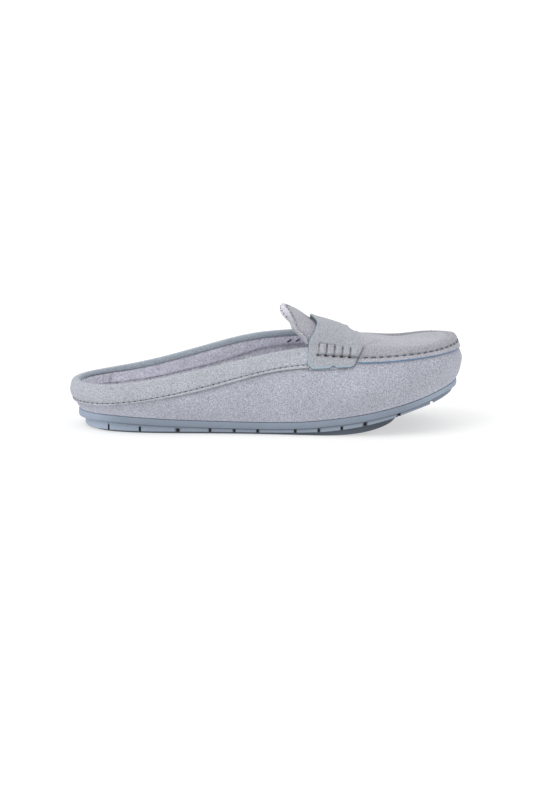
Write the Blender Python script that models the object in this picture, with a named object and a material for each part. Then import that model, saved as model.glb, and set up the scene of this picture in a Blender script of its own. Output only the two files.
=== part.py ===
"""Suede moccasin loafer with a low back, right shoe, built piece by piece in metres.

Heel back to toe tip runs along +X, the inner (medial) side is +Y, and the floor is z = 0.
Every piece is read from one section function, skin(), which is the shape of the last.
"""

import math
from collections import namedtuple
from functools import lru_cache

import bmesh
import bpy
import numpy as np

# Driving sizes
LENGTH = 0.252            # heel back to toe tip, outside
BALL_WIDTH = 0.0924       # across the ball, outside
INSTEP_HEIGHT = 0.0617    # sole edge to the top of the throat
SOLE_HEIGHT = 0.0113      # floor to the top of the sole's lip at the heel
TOE_SPRING = 0.0232       # rise of the sole at the toe tip
WALL = 0.0020             # suede and lining together
RIM_WALL = 0.0032         # the padded collar under its band
OVERHANG = 0.0035         # the upper stands out this far over the sole's lip
FEATHER_IN = 0.0008       # the upper's foot lies this far inside the lip's edge
FEATHER_TURN = 0.0032     # height in which the wall turns under to its foot
TURN_IN = 0.0024          # how far the wall is in at the top of that turn
LAP = 0.0013              # thickness of the apron's cut edge over the side
PLUG_SINK = 0.0007        # the apron's face lies this far below the plain section
PLUG_SLOPE = 0.0045       # plan width in which it falls from its rim to that face
GAP = 0.0003              # clearance between touching pieces

LIP = 0.0043              # thickness of the sole's lip
STEP_SIDE = 0.0020        # the lower tier stands in this far at the sides
STEP_HEEL = 0.0042        # and this far at the heel
STEP_TOE = 0.0030         # and at the toe
TREAD_DEPTH = 0.0013      # the tread pad's height below the lower tier
TIER_DOWN_FROM = 0.86     # past the pad the lower tier comes down by that depth, between these
TIER_DOWN_TO = 0.95       # shares of the length
PAD_IN = 0.0019           # the tread pad stands in this far from the lower tier
PAD_HEEL_IN = 0.0040      # and this far at the heel
SLIT_WIDTH = 0.0011
SLIT_DEPTH = 0.0016
SLIT_HEIGHT = 0.0031
SLIT_THIN = 0.0024        # height of the slits forward of the heel
CUT_BEYOND = 4            # a slit starts below the face by its depth over this
GROOVE_WIDTH = 0.0022
GROOVE_DEPTH = 0.0010

INSOLE = 0.0036           # thickness of the padded sock
INSOLE_DISH = 0.0009      # its middle is lower than its edge
INSOLE_SLOPE = 0.0060     # plan width in which it falls to the middle
INSOLE_SIDE = 0.2         # upright share of its edge
BAND = 0.0012             # thickness of the collar band
BAND_FOLD = 0.0018        # the band's reach inside the collar
BAND_TUCK = 0.0010        # the band's ends lie this far behind the strap's rear edge
STRAP = 0.0023            # thickness of the saddle strap
PUCKER = 0.0012           # height of the pads at the strap's ends
PUCKER_PITCH = 0.0053
PUCKER_COUNT = 5
SCALLOP = 0.0014          # depth of the notch in the strap's end
NOTCH_AT = 1.7            # the notch, in pitches from the first pad's centre
NOTCH_WIDE = 0.45         # half its width, in pitches
LOBE_FROM = 2.2           # the lobes' corners round off between these, in pitches from the notch
LOBE_TO = 3.6
STRAP_EDGE = 0.55         # the strap's rounded edges, as a share of its thickness
STRAP_RIM = 0.35          # share of the way from an edge to the pads where it is full
SEAT = 0.0004             # the strap lies this far over the wall, whose facets are flat
TONGUE = 0.0030           # thickness of the tongue
TONGUE_CLEAR = 0.0004     # the tongue's front edge lies this far behind the apron's

# A row for each section of the last. at: share of the length. centre, half: shares of the ball width.
# rise, thick: the lip's height as shares of the toe spring and the sole height.
# belly_up: height of the widest place as a share of the edge's height above the lip.
# edge_in, crest_in: plan distance in from the widest place, as shares of the ball width.
# edge_up, inner_up, crest_up, dip, top_up: heights above the lip as shares of the instep height,
# where inner_up raises the edge on the inner side and dip lowers the crest there.
Section = namedtuple(
    "Section", "at centre half rise thick belly_up edge_in edge_up inner_up crest_in crest_up dip top_up"
)
LAST = [
    Section(0.000, 0.000, 0.000, 0.000, 1.00, 0.62, 0.006, 0.271, 0.000, 0.017, 0.400, 0.000, 1.140),
    Section(0.024, 0.000, 0.205, 0.000, 1.01, 0.61, 0.010, 0.270, 0.000, 0.021, 0.400, 0.000, 1.140),
    Section(0.095, 0.000, 0.340, 0.000, 1.01, 0.57, 0.022, 0.288, 0.005, 0.033, 0.420, 0.000, 1.140),
    Section(0.206, -0.016, 0.376, 0.000, 0.89, 0.50, 0.038, 0.373, 0.028, 0.050, 0.505, 0.000, 1.140),
    Section(0.345, -0.025, 0.375, 0.000, 0.77, 0.44, 0.055, 0.512, 0.074, 0.068, 0.645, 0.000, 1.140),
    Section(0.476, -0.026, 0.396, 0.000, 0.73, 0.40, 0.086, 0.653, 0.074, 0.110, 0.790, 0.000, 1.140),
    Section(0.544, -0.021, 0.423, 0.010, 0.74, 0.39, 0.113, 0.703, 0.042, 0.158, 0.925, 0.018, 1.141),
    Section(0.583, -0.015, 0.443, 0.025, 0.75, 0.38, 0.130, 0.717, 0.026, 0.168, 0.898, 0.050, 1.068),
    Section(0.607, -0.011, 0.455, 0.035, 0.77, 0.38, 0.135, 0.714, 0.020, 0.175, 0.870, 0.070, 1.000),
    Section(0.651, -0.005, 0.475, 0.070, 0.81, 0.38, 0.112, 0.652, 0.016, 0.158, 0.797, 0.080, 0.920),
    Section(0.698, 0.000, 0.491, 0.140, 0.81, 0.38, 0.090, 0.590, 0.014, 0.142, 0.725, 0.075, 0.836),
    Section(0.754, 0.004, 0.500, 0.255, 0.79, 0.39, 0.074, 0.545, 0.012, 0.124, 0.669, 0.072, 0.752),
    Section(0.817, 0.011, 0.492, 0.430, 0.74, 0.42, 0.060, 0.498, 0.010, 0.106, 0.614, 0.085, 0.666),
    Section(0.905, 0.027, 0.418, 0.730, 0.64, 0.50, 0.046, 0.421, 0.005, 0.086, 0.525, 0.042, 0.559),
    Section(0.972, 0.040, 0.240, 0.950, 0.61, 0.59, 0.028, 0.347, 0.000, 0.068, 0.460, 0.012, 0.474),
    Section(1.000, 0.042, 0.000, 1.000, 0.63, 0.62, 0.020, 0.316, 0.000, 0.062, 0.447, 0.000, 0.447),
]
# Where the section's levels lie on its way from the foot (0) to the top of the instep (1),
# and which way the wall faces there: outward and up.
Level = namedtuple("Level", "along out up")
FOOT = Level(0.00, 1.00, 0.00)
TURN = Level(0.05, 1.00, 0.00)
BELLY = Level(0.17, 1.00, 0.00)
SHOULDER = Level(0.30, 0.97, 0.24)
EDGE = Level(0.42, 0.93, 0.37)
CREST = Level(0.54, 0.50, 0.87)
TOP = Level(1.00, 0.00, 1.00)
SHOULDER_UP = 0.55        # the shoulder's share of the way from belly to edge, upward
SHOULDER_IN = 0.30        # and inward

THROAT_AT = 0.655         # rear edge of the apron, hidden under the strap
STRAP_NEAR_AT = 0.600     # rear edge of the strap at its ends
LAP_START_AT = 0.744      # the apron's cut edge comes out from under the strap
LAP_FULL_AT = 0.760

# The strap's rear and front edges, and the tongue's rear edge, by place along the section
StrapEdge = namedtuple("StrapEdge", "along rear front")
STRAP_EDGES = [
    StrapEdge(0.30, 0.600, 0.730),
    StrapEdge(0.44, 0.600, 0.738),
    StrapEdge(0.56, 0.606, 0.735),
    StrapEdge(0.66, 0.616, 0.730),
    StrapEdge(0.76, 0.620, 0.723),
    StrapEdge(0.88, 0.615, 0.716),
    StrapEdge(1.00, 0.612, 0.713),
]
STRAP_END_UP = 0.0440     # height of the strap's ends above the floor, at the first pad
STRAP_END_RISE = 0.00036  # and their rise over each further pad
PUCKER_FROM = 0.0504      # the pads reach from this height
PUCKER_TO = 0.0582        # to this one
PUCKER_EDGE = 0.0022      # in which they rise and fall
PUCKER_AT = 0.6353        # centre of the first pad
TongueEdge = namedtuple("TongueEdge", "along rear")
TONGUE_EDGES = [
    TongueEdge(0.474, 0.591),
    TongueEdge(0.505, 0.584),
    TongueEdge(0.540, 0.571),
    TongueEdge(0.580, 0.557),
    TongueEdge(0.650, 0.551),
    TongueEdge(0.740, 0.539),
    TongueEdge(0.830, 0.532),
    TongueEdge(0.920, 0.531),
    TongueEdge(1.000, 0.534),
]
# The collar band's outside reach below the wall's edge, by share of the length
BandDrop = namedtuple("BandDrop", "along drop")
BAND_DROPS = [
    BandDrop(0.00, 0.175),
    BandDrop(0.07, 0.173),
    BandDrop(0.12, 0.165),
    BandDrop(0.33, 0.165),
    BandDrop(0.43, 0.152),
    BandDrop(0.53, 0.140),
    BandDrop(0.60, 0.139),
]
SLITS_AT = [0.081, 0.169, 0.269, 0.352, 0.414, 0.471, 0.568, 0.628, 0.688, 0.750, 0.843, 0.938]
FLAT_FROM = 0.095         # the tread pad is flat between these shares of the length
FLAT_TO = 0.625
PAD_FRONT_AT = 0.838
PAD_ROUND_AT = 0.690      # here the pad's front starts to round in
PAD_FRONT_UP = 0.260      # rise of the pad at its front, as a share of the toe spring
PAD_HEEL_UP = 0.0012
PAD_SIDE_PART = 0.66      # share of the pad's outline that follows the sole's side
PAD_FRONT_POWER = 0.8     # how full its round front is
END_POWER = 4             # how near the ends the insets change
HEEL_TO = 0.22            # the slits are tall behind this share of the length

COLUMNS = 42              # sections from heel to toe, each side
BAND_COLUMNS = 30
TONGUE_COLUMNS = 8
PAD_STEPS = 4             # points across each pad
HALVINGS = 24
CAP_BELOW = 0.02          # how far below the edge the wall's direction is taken
SHARP_DEGREES = 40
LATERAL = -1
MEDIAL = 1
CREST_POINTS = 160        # points a side on the crest, to measure from
STEP_T = 1e-4
CREST_EASE = 1.2          # limit on how steeply the apron leaves its crest
HEEL_X = BAND + GAP       # the wall's back, inside the collar band
ROUND_DIGITS = 7


def turn_of(share):
    """Angle share from heel (0) to toe (1) of a place given as a share of the length."""
    return math.acos(1 - 2 * min(max(share, 0.0), 1.0)) / math.pi


def share_of(turn):
    return (1 - math.cos(math.pi * turn)) / 2


def natural_spline(xs, ys):
    """Second derivatives of the natural cubic through the points."""
    n = len(xs)
    matrix = np.eye(n)
    right = np.zeros(n)
    for i in range(1, n - 1):
        before = xs[i] - xs[i - 1]
        after = xs[i + 1] - xs[i]
        matrix[i, i - 1:i + 2] = before / 6, (before + after) / 3, after / 6
        right[i] = (ys[i + 1] - ys[i]) / after - (ys[i] - ys[i - 1]) / before
    return np.linalg.solve(matrix, right)


def curve(xs, ys):
    """The natural cubic through the points, as a function."""
    second = natural_spline(xs, ys)

    def read(at):
        i = min(max(int(np.searchsorted(xs, at)) - 1, 0), len(xs) - 2)
        width = xs[i + 1] - xs[i]
        a = (xs[i + 1] - at) / width
        b = 1 - a
        bend = (a ** 3 - a) * second[i] + (b ** 3 - b) * second[i + 1]
        return float(a * ys[i] + b * ys[i + 1] + bend * width ** 2 / 6)

    return read


def column(name, odd=False):
    """The table's column as a smooth function of the turn, mirrored past heel and toe."""
    turns = [turn_of(row.at) for row in LAST]
    values = [getattr(row, name) for row in LAST]
    sign = -1 if odd else 1
    xs = [-t for t in turns[:0:-1]] + turns + [2 - t for t in turns[-2::-1]]
    ys = [sign * v for v in values[:0:-1]] + values + [sign * v for v in values[-2::-1]]
    return curve(xs, ys)


def row_curve(rows, name):
    """A short table's column as a smooth function, mirrored past its last row."""
    places = [row.along for row in rows]
    values = [getattr(row, name) for row in rows]
    mirrored = [2 * places[-1] - place for place in places[-2::-1]]
    return curve(places + mirrored, values + values[-2::-1])


centre = column("centre")
half = column("half", odd=True)
rise = column("rise")
thick = column("thick")
belly_up = column("belly_up")
edge_in = column("edge_in")
edge_up = column("edge_up")
inner_up = column("inner_up")
crest_in = column("crest_in")
crest_up = column("crest_up")
dip = column("dip")
top_up = column("top_up")
strap_rear = row_curve(STRAP_EDGES, "rear")
strap_front = row_curve(STRAP_EDGES, "front")
tongue_rear = row_curve(TONGUE_EDGES, "rear")
band_drop = row_curve(BAND_DROPS, "drop")


def smooth(value, start, end):
    """0 before start, 1 past end, with no corner between."""
    part = min(max((value - start) / (end - start), 0.0), 1.0)
    return part * part * (3 - 2 * part)


def girth(turn, side):
    """The widest line of the last in plan."""
    x = HEEL_X + (LENGTH - HEEL_X) * share_of(turn)
    y = BALL_WIDTH * (centre(turn) + side * half(turn))
    return np.array([x, y])


@lru_cache(maxsize=None)
def plan_normal(turn, side):
    ahead = girth(turn + STEP_T, side) - girth(turn - STEP_T, side)
    normal = np.array([-ahead[1], ahead[0]]) * side
    return normal / np.linalg.norm(normal)


def ring(turn, side, inset):
    """Plan point at a distance in from the widest line."""
    return girth(turn, side) - plan_normal(turn, side) * inset


def turn_at(x):
    return turn_of((x - HEEL_X) / (LENGTH - HEEL_X))


def spring(x):
    return TOE_SPRING * rise(turn_at(x))


def lip_top(x):
    return spring(x) + SOLE_HEIGHT * thick(turn_at(x))


@lru_cache(maxsize=None)
def levels(turn, side):
    """The section's points and facings from its foot to the crest, on one side."""
    out = plan_normal(turn, side)
    edge = edge_up(turn) + (inner_up(turn) if side == MEDIAL else 0.0)
    edge *= INSTEP_HEIGHT
    crest = INSTEP_HEIGHT * (crest_up(turn) - (dip(turn) if side == MEDIAL else 0.0))
    belly = edge * belly_up(turn)
    edge_inset = BALL_WIDTH * edge_in(turn)
    steps = [
        (FOOT, OVERHANG + FEATHER_IN, GAP),
        (TURN, TURN_IN, FEATHER_TURN),
        (BELLY, 0.0, belly),
        (SHOULDER, edge_inset * SHOULDER_IN, belly + (edge - belly) * SHOULDER_UP),
        (EDGE, edge_inset, edge),
        (CREST, BALL_WIDTH * crest_in(turn), crest),
    ]
    points = []
    for level, inset, up in steps:
        x, y = ring(turn, side, inset)
        facing = np.array([out[0] * level.out, out[1] * level.out, level.up])
        points.append((level.along, np.array([x, y, lip_top(x) + up]), facing))
    return points


@lru_cache(maxsize=None)
def whole_section(turn):
    """Knots, points and facings from the outer foot over the top to the inner foot."""
    lateral = levels(turn, LATERAL)
    medial = levels(turn, MEDIAL)
    toward_toe = max(-math.cos(math.pi * turn), 0.0) ** 2
    x = girth(turn, LATERAL)[0] - BALL_WIDTH * crest_in(turn) * toward_toe
    top = np.array([x, BALL_WIDTH * centre(turn), lip_top(x) + INSTEP_HEIGHT * top_up(turn)])
    rows = [(-1 + along, point, facing) for along, point, facing in lateral]
    rows.append((0.0, top, np.array([0.0, 0.0, 1.0])))
    rows += [(1 - along, point, facing) for along, point, facing in reversed(medial)]
    knots = np.array([row[0] for row in rows])
    values = np.array([np.concatenate([row[1], row[2]]) for row in rows])
    slopes = np.gradient(values, knots, axis=0)
    return knots, values, slopes


def inner_slope(slope, span, width):
    """A crest's slope towards the top, no steeper than the apron between them is long."""
    longest = CREST_EASE * np.linalg.norm(span[:3]) / width
    steepness = np.linalg.norm(slope[:3])
    return slope * min(1.0, longest / max(steepness, longest, STEP_T))


def skin(turn, side, along, lift=0.0):
    """Point on the last's section at a place along it, lifted off the surface."""
    knots, values, slopes = whole_section(turn)
    if turn == 1:
        along = min(along, CREST.along)
    place = side * (1 - along)
    i = min(max(int(np.searchsorted(knots, place)) - 1, 0), len(knots) - 2)
    width = knots[i + 1] - knots[i]
    before, after = slopes[i], slopes[i + 1]
    if abs(place) < 1 - CREST.along:
        span = values[i + 1] - values[i]
        before, after = inner_slope(before, span, width), inner_slope(after, span, width)
    s = (place - knots[i]) / width
    value = (
        values[i] * (2 * s ** 3 - 3 * s ** 2 + 1)
        + values[i + 1] * (3 * s ** 2 - 2 * s ** 3)
        + before * width * (s ** 3 - 2 * s ** 2 + s)
        + after * width * (s ** 3 - s ** 2)
    )
    facing = value[3:] / np.linalg.norm(value[3:])
    return value[:3] + facing * lift


@lru_cache(maxsize=None)
def crest_ring():
    """Plan points along the apron's crest, from throat to throat round the toe."""
    turns = [0.5 + 0.5 * i / CREST_POINTS for i in range(CREST_POINTS + 1)]
    return np.array([skin(t, side, CREST.along)[:2] for side in (LATERAL, MEDIAL) for t in turns])


def relief(turn, side, along):
    """How far the apron's lapped rim stands over the plain section, and its face lies below."""
    if along < EDGE.along:
        return 0.0
    shown = smooth(share_of(turn), LAP_START_AT, LAP_FULL_AT)
    inside = 0.0
    if along > CREST.along:
        here = skin(turn, side, along)[:2]
        from_crest = np.min(np.linalg.norm(crest_ring() - here, axis=1))
        inside = smooth(from_crest, 0.0, PLUG_SLOPE)
    return shown * (LAP * (1 - inside) - PLUG_SINK * inside)


def rim_wall(turn):
    """Wall thickness at the edge: padded round the heel, plain under the strap."""
    share = share_of(turn)
    return RIM_WALL + (WALL - RIM_WALL) * smooth(share, STRAP_NEAR_AT, THROAT_AT)


def wall(turn, along):
    padded = smooth(along, SHOULDER.along, EDGE.along)
    if share_of(turn) > THROAT_AT:
        return WALL
    return WALL + (rim_wall(turn) - WALL) * padded


def cap(turn, side, angle, extra=0.0):
    """Point on the round top of the collar, from its outside (0) to its inside (pi)."""
    outer = skin(turn, side, EDGE.along)
    inner = skin(turn, side, EDGE.along, -wall(turn, EDGE.along))
    below = skin(turn, side, EDGE.along - CAP_BELOW)
    middle = (outer + inner) / 2
    across = (outer - inner) / np.linalg.norm(outer - inner)
    up = outer - below
    up -= across * up.dot(across)
    up /= np.linalg.norm(up)
    radius = np.linalg.norm(outer - inner) / 2 + extra
    return middle + radius * (math.cos(angle) * across + math.sin(angle) * up)


def solid(name, quads, colour, roughness):
    """One closed body from faces given by their corners, joined where corners meet."""
    mesh = bpy.data.meshes.new(name)
    bm = bmesh.new()
    known = {}
    seen = set()
    for corners in quads:
        verts = []
        for corner in corners:
            key = tuple(round(float(value), ROUND_DIGITS) for value in corner)
            if key not in known:
                known[key] = bm.verts.new(key)
            if known[key] not in verts:
                verts.append(known[key])
        if len(verts) > 2 and frozenset(verts) not in seen:
            seen.add(frozenset(verts))
            bm.faces.new(verts)
    bmesh.ops.triangulate(bm, faces=bm.faces[:])
    bmesh.ops.recalc_face_normals(bm, faces=bm.faces[:])
    shift = -LENGTH / 2
    for vert in bm.verts:
        vert.co.x += shift
    bm.to_mesh(mesh)
    bm.free()
    mesh.shade_smooth()
    mesh.set_sharp_from_angle(angle=math.radians(SHARP_DEGREES))
    piece = bpy.data.objects.new(name, mesh)
    bpy.context.scene.collection.objects.link(piece)
    material = bpy.data.materials.new(name)
    material.use_nodes = True
    shader = material.node_tree.nodes["Principled BSDF"]
    shader.inputs["Base Color"].default_value = (*colour, 1.0)
    shader.inputs["Roughness"].default_value = roughness
    mesh.materials.append(material)
    return piece


def strips(grid, closed=False):
    """Faces between the rows and columns of a grid of points."""
    quads = []
    rows = len(grid)
    for i in range(rows if closed else rows - 1):
        here = grid[i]
        after = grid[(i + 1) % rows]
        for j in range(len(here) - 1):
            quads.append((here[j], after[j], after[j + 1], here[j + 1]))
    return quads


def sheet(outer, inner):
    """Faces of a sheet with thickness, between two grids of one size."""
    quads = strips(outer) + strips(inner)
    quads += strips([outer[0], inner[0]]) + strips([outer[-1], inner[-1]])
    first = [[row[0] for row in outer], [row[0] for row in inner]]
    last = [[row[-1] for row in outer], [row[-1] for row in inner]]
    return quads + strips(first) + strips(last)


def round_the_shoe(count=COLUMNS):
    """(turn, side) of each section, once round from the heel along the outer side."""
    lateral = [(i / count, LATERAL) for i in range(count)]
    medial = [(i / count, MEDIAL) for i in range(count, 0, -1)]
    return lateral + medial


THROAT_COLUMN = round(turn_of(THROAT_AT) * COLUMNS)
THROAT_TURN = THROAT_COLUMN / COLUMNS
SIDE_ROWS = [0.0, 0.03, 0.06, 0.11, 0.17, 0.235, 0.30, 0.36, EDGE.along]
APRON_ROWS = [EDGE.along, 0.45, 0.49, 0.54, 0.567, 0.595, 0.70, 0.85, 1.0]
INNER_SIDE_ROWS = [0.0, 0.06, 0.17, 0.30, 0.36, EDGE.along]
BAND_ROWS = [0.0, 0.35, 0.7]
STRAP_ROWS = [0.0, 0.05, 0.1, 0.14, 0.18, 0.22, 0.26, 0.30, 0.34, 0.40, 0.52, 0.70, 0.86, 1.0]
CAP_ANGLES = [math.pi * quarter / 4 for quarter in range(5)]


def over_the_top(rows):
    """(side, along) of each place from the outer edge over the top to the inner edge."""
    return [(LATERAL, a) for a in rows] + [(MEDIAL, a) for a in rows[-2::-1]]


def make_upper():
    quads = []
    around = round_the_shoe()
    outer = [[skin(t, s, a) for a in SIDE_ROWS] for t, s in around]
    inner = [[skin(t, s, a, -wall(t, a)) for a in INNER_SIDE_ROWS] for t, s in around]
    foot = [[out[0], inn[0]] for out, inn in zip(outer, inner)]
    quads += strips(outer, True) + strips(inner, True) + strips(foot, True)
    front = [i / COLUMNS for i in range(THROAT_COLUMN, COLUMNS + 1)]
    apron = [[skin(t, s, a, relief(t, s, a)) for s, a in over_the_top(APRON_ROWS)] for t in front]
    lining = [[skin(t, s, a, -wall(t, a)) for s, a in over_the_top(APRON_ROWS)] for t in front]
    quads += strips(apron) + strips(lining) + strips([apron[0], lining[0]])
    for side in (LATERAL, MEDIAL):
        lap = [[skin(t, side, EDGE.along), skin(t, side, EDGE.along, relief(t, side, EDGE.along))] for t in front]
        quads += strips(lap)
    for side in (LATERAL, MEDIAL):
        rear = [i / COLUMNS for i in range(THROAT_COLUMN + 1)]
        quads += strips([[cap(t, side, angle) for angle in CAP_ANGLES] for t in rear])
    quads.append([cap(THROAT_TURN, LATERAL, angle) for angle in CAP_ANGLES])
    quads.append([cap(THROAT_TURN, MEDIAL, angle) for angle in CAP_ANGLES])
    return quads


def make_band():
    """The strip folded over the collar, from strap to strap round the heel."""
    end = turn_of(STRAP_NEAR_AT - BAND_TUCK / LENGTH)
    turns = [end * i / BAND_COLUMNS for i in range(BAND_COLUMNS, -1, -1)]
    stations = [(t, LATERAL) for t in turns] + [(t, MEDIAL) for t in turns[-2::-1]]
    faces = []
    for lift in (GAP + BAND, GAP):
        grid = []
        for turn, side in stations:
            reach = INSTEP_HEIGHT * band_drop(share_of(turn))
            drop = along_below_edge(turn, side, reach)
            fold = along_below_edge(turn, side, BAND_FOLD)
            outside = [drop + (EDGE.along - drop) * part for part in BAND_ROWS]
            row = [skin(turn, side, a, lift) for a in outside]
            row += [cap(turn, side, angle, lift) for angle in CAP_ANGLES]
            row += [skin(turn, side, fold, -wall(turn, fold) - lift)]
            grid.append(row)
        faces.append(grid)
    return sheet(*faces)


@lru_cache(maxsize=None)
def along_at_height(turn, side, height):
    """The place on the section's side that lies at a height above the floor."""
    low, high = TURN.along, CREST.along
    for _ in range(HALVINGS):
        middle = (low + high) / 2
        if skin(turn, side, middle)[2] < height:
            low = middle
        else:
            high = middle
    return high


def along_below_edge(turn, side, drop):
    return along_at_height(turn, side, skin(turn, side, EDGE.along)[2] - drop)


def pucker(from_first, height):
    """Height of the pads at the strap's ends, from_first pitches after the first one's centre."""
    if from_first < -0.5 or from_first > PUCKER_COUNT - 0.5:
        return 0.0
    window = smooth(height, PUCKER_FROM, PUCKER_FROM + PUCKER_EDGE)
    window *= 1 - smooth(height, PUCKER_TO - PUCKER_EDGE, PUCKER_TO)
    return PUCKER * window * math.cos(math.pi * (from_first - round(from_first))) ** 2


def scallop(from_first):
    """How far the strap's cut end is notched between its two lobes and rounded at its corners."""
    notch = math.exp(-(((from_first - NOTCH_AT) / NOTCH_WIDE) ** 2))
    return SCALLOP * (notch + smooth(abs(from_first - NOTCH_AT), LOBE_FROM, LOBE_TO))


def make_strap():
    """The saddle strap, from its outer end over the instep to its inner end."""
    steps = PAD_STEPS * PUCKER_COUNT
    top, under = [], []
    for side, part in over_the_top(STRAP_ROWS):
        upper_row, lower_row = [], []
        nominal = STRAP_EDGES[0].along + (1 - STRAP_EDGES[0].along) * part
        rear = strap_rear(nominal)
        front = strap_front(nominal)
        first_pad = max(PUCKER_AT - 0.5 * PUCKER_PITCH / LENGTH, rear)
        last_pad = min(PUCKER_AT + (PUCKER_COUNT - 0.5) * PUCKER_PITCH / LENGTH, front)
        spread = [first_pad + (last_pad - first_pad) * i / steps for i in range(steps + 1)]
        behind = rear + (first_pad - rear) * STRAP_RIM
        ahead = front - (front - last_pad) * STRAP_RIM
        shares = [rear, behind] + spread + [ahead, front]
        for place, share in enumerate(shares):
            turn = turn_of(share)
            from_first = (share - PUCKER_AT) * LENGTH / PUCKER_PITCH
            end_up = STRAP_END_UP + STRAP_END_RISE * from_first + scallop(from_first)
            end = along_at_height(turn, side, end_up)
            along = end + (1 - end) * part
            seat = relief(turn, side, along) + SEAT
            edge = STRAP * (STRAP_EDGE if place in (0, len(shares) - 1) else 1.0)
            raised = pucker(from_first, skin(turn, side, along)[2])
            upper_row.append(skin(turn, side, along, seat + edge + raised))
            lower_row.append(skin(turn, side, along, seat))
        top.append(upper_row)
        under.append(lower_row)
    return sheet(top, under)


def make_tongue():
    front = turn_of(share_of(THROAT_TURN) - TONGUE_CLEAR / LENGTH)
    top, under = [], []
    for side, along in over_the_top([row.along for row in TONGUE_EDGES]):
        rear = turn_of(tongue_rear(along))
        turns = [front + (rear - front) * i / TONGUE_COLUMNS for i in range(TONGUE_COLUMNS + 1)]
        top.append([skin(t, side, along, -GAP) for t in turns])
        under.append([skin(t, side, along, -TONGUE) for t in turns])
    return sheet(top, under)


def make_insole():
    foot_in = OVERHANG + FEATHER_IN + WALL + GAP * 2
    around = round_the_shoe()

    def at(turn, side, inset, up):
        x, y = ring(turn, side, inset)
        return np.array([x, y, lip_top(x) + up])

    base = GAP
    top_in = TURN_IN + WALL + GAP * 3
    profile = [(foot_in, base), (foot_in, base + INSOLE * INSOLE_SIDE), (top_in, base + INSOLE),
               (top_in + INSOLE_SLOPE, base + INSOLE - INSOLE_DISH)]
    grid = [[at(t, s, inset, up) for inset, up in profile] for t, s in around]
    quads = strips(grid, True)
    for j in (0, len(profile) - 1):
        lateral = [grid[i][j] for i in range(COLUMNS + 1)]
        medial = [grid[0][j]] + [grid[-i][j] for i in range(1, COLUMNS)] + [grid[COLUMNS][j]]
        quads += strips([lateral, medial])
    return quads


def pad_bottom(x):
    """Height of the tread pad's face: flat in the middle, rising to heel and toe."""
    front = max(x / LENGTH - FLAT_TO, 0.0) / (PAD_FRONT_AT - FLAT_TO)
    back = max(FLAT_FROM - x / LENGTH, 0.0) / FLAT_FROM
    return TOE_SPRING * PAD_FRONT_UP * front ** 2 + PAD_HEEL_UP * back ** 2


def tier_inset(turn):
    end = abs(math.cos(math.pi * turn)) ** END_POWER
    step = STEP_HEEL if turn < 0.5 else STEP_TOE
    return OVERHANG + STEP_SIDE + (step - STEP_SIDE) * end


def tier_bottom(x):
    """Height of the lower tier's underside."""
    share = share_of(turn_at(x))
    return spring(x) + TREAD_DEPTH * (1 - smooth(share, TIER_DOWN_FROM, TIER_DOWN_TO))


def pad_point(turn, side):
    """Plan point of the tread pad, with its own round front."""
    if turn <= PAD_SIDE_PART:
        own = turn_of(PAD_ROUND_AT) * turn / PAD_SIDE_PART
        narrow = 1.0
    else:
        angle = (turn - PAD_SIDE_PART) / (1 - PAD_SIDE_PART) * math.pi / 2
        own = turn_of(PAD_ROUND_AT + (PAD_FRONT_AT - PAD_ROUND_AT) * math.sin(angle))
        narrow = max(math.cos(angle), 0.0) ** PAD_FRONT_POWER
    heel = max(math.cos(math.pi * own), 0.0) ** END_POWER
    x, y = ring(own, side, tier_inset(own) + PAD_IN + (PAD_HEEL_IN - PAD_IN) * heel)
    middle_y = BALL_WIDTH * centre(own)
    return x, middle_y + (y - middle_y) * narrow


def make_outsole():
    around = round_the_shoe()
    grid = []
    for turn, side in around:
        x, y = ring(turn, side, OVERHANG)
        tx, ty = ring(turn, side, tier_inset(turn))
        px, py = pad_point(turn, side)
        grid.append([
            (x, y, lip_top(x)),
            (x, y, lip_top(x) - LIP),
            (tx, ty, lip_top(tx) - LIP),
            (tx, ty, tier_bottom(tx)),
            (px, py, tier_bottom(px)),
            (px, py, pad_bottom(px)),
        ])
    quads = strips(grid, True)
    for j in (0, len(grid[0]) - 1):
        lateral = [grid[i][j] for i in range(COLUMNS + 1)]
        medial = [grid[0][j]] + [grid[-i][j] for i in range(1, COLUMNS)] + [grid[COLUMNS][j]]
        quads += strips([lateral, medial])
    return quads


def box(middle, along, size):
    """Corners' faces of a box: its middle, the plan direction of its length, its sizes."""
    forward = np.array([along[0], along[1], 0.0])
    sideways = np.array([-along[1], along[0], 0.0])
    up = np.array([0.0, 0.0, 1.0])
    axes = [axis * length / 2 for axis, length in zip((forward, sideways, up), size)]
    corner = {}
    for i in (-1, 1):
        for j in (-1, 1):
            for k in (-1, 1):
                corner[i, j, k] = middle + i * axes[0] + j * axes[1] + k * axes[2]
    faces = []
    for a in (-1, 1):
        faces.append([corner[a, j, k] for j, k in ((-1, -1), (1, -1), (1, 1), (-1, 1))])
        faces.append([corner[i, a, k] for i, k in ((-1, -1), (1, -1), (1, 1), (-1, 1))])
        faces.append([corner[i, j, a] for i, j in ((-1, -1), (1, -1), (1, 1), (-1, 1))])
    return faces


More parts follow.
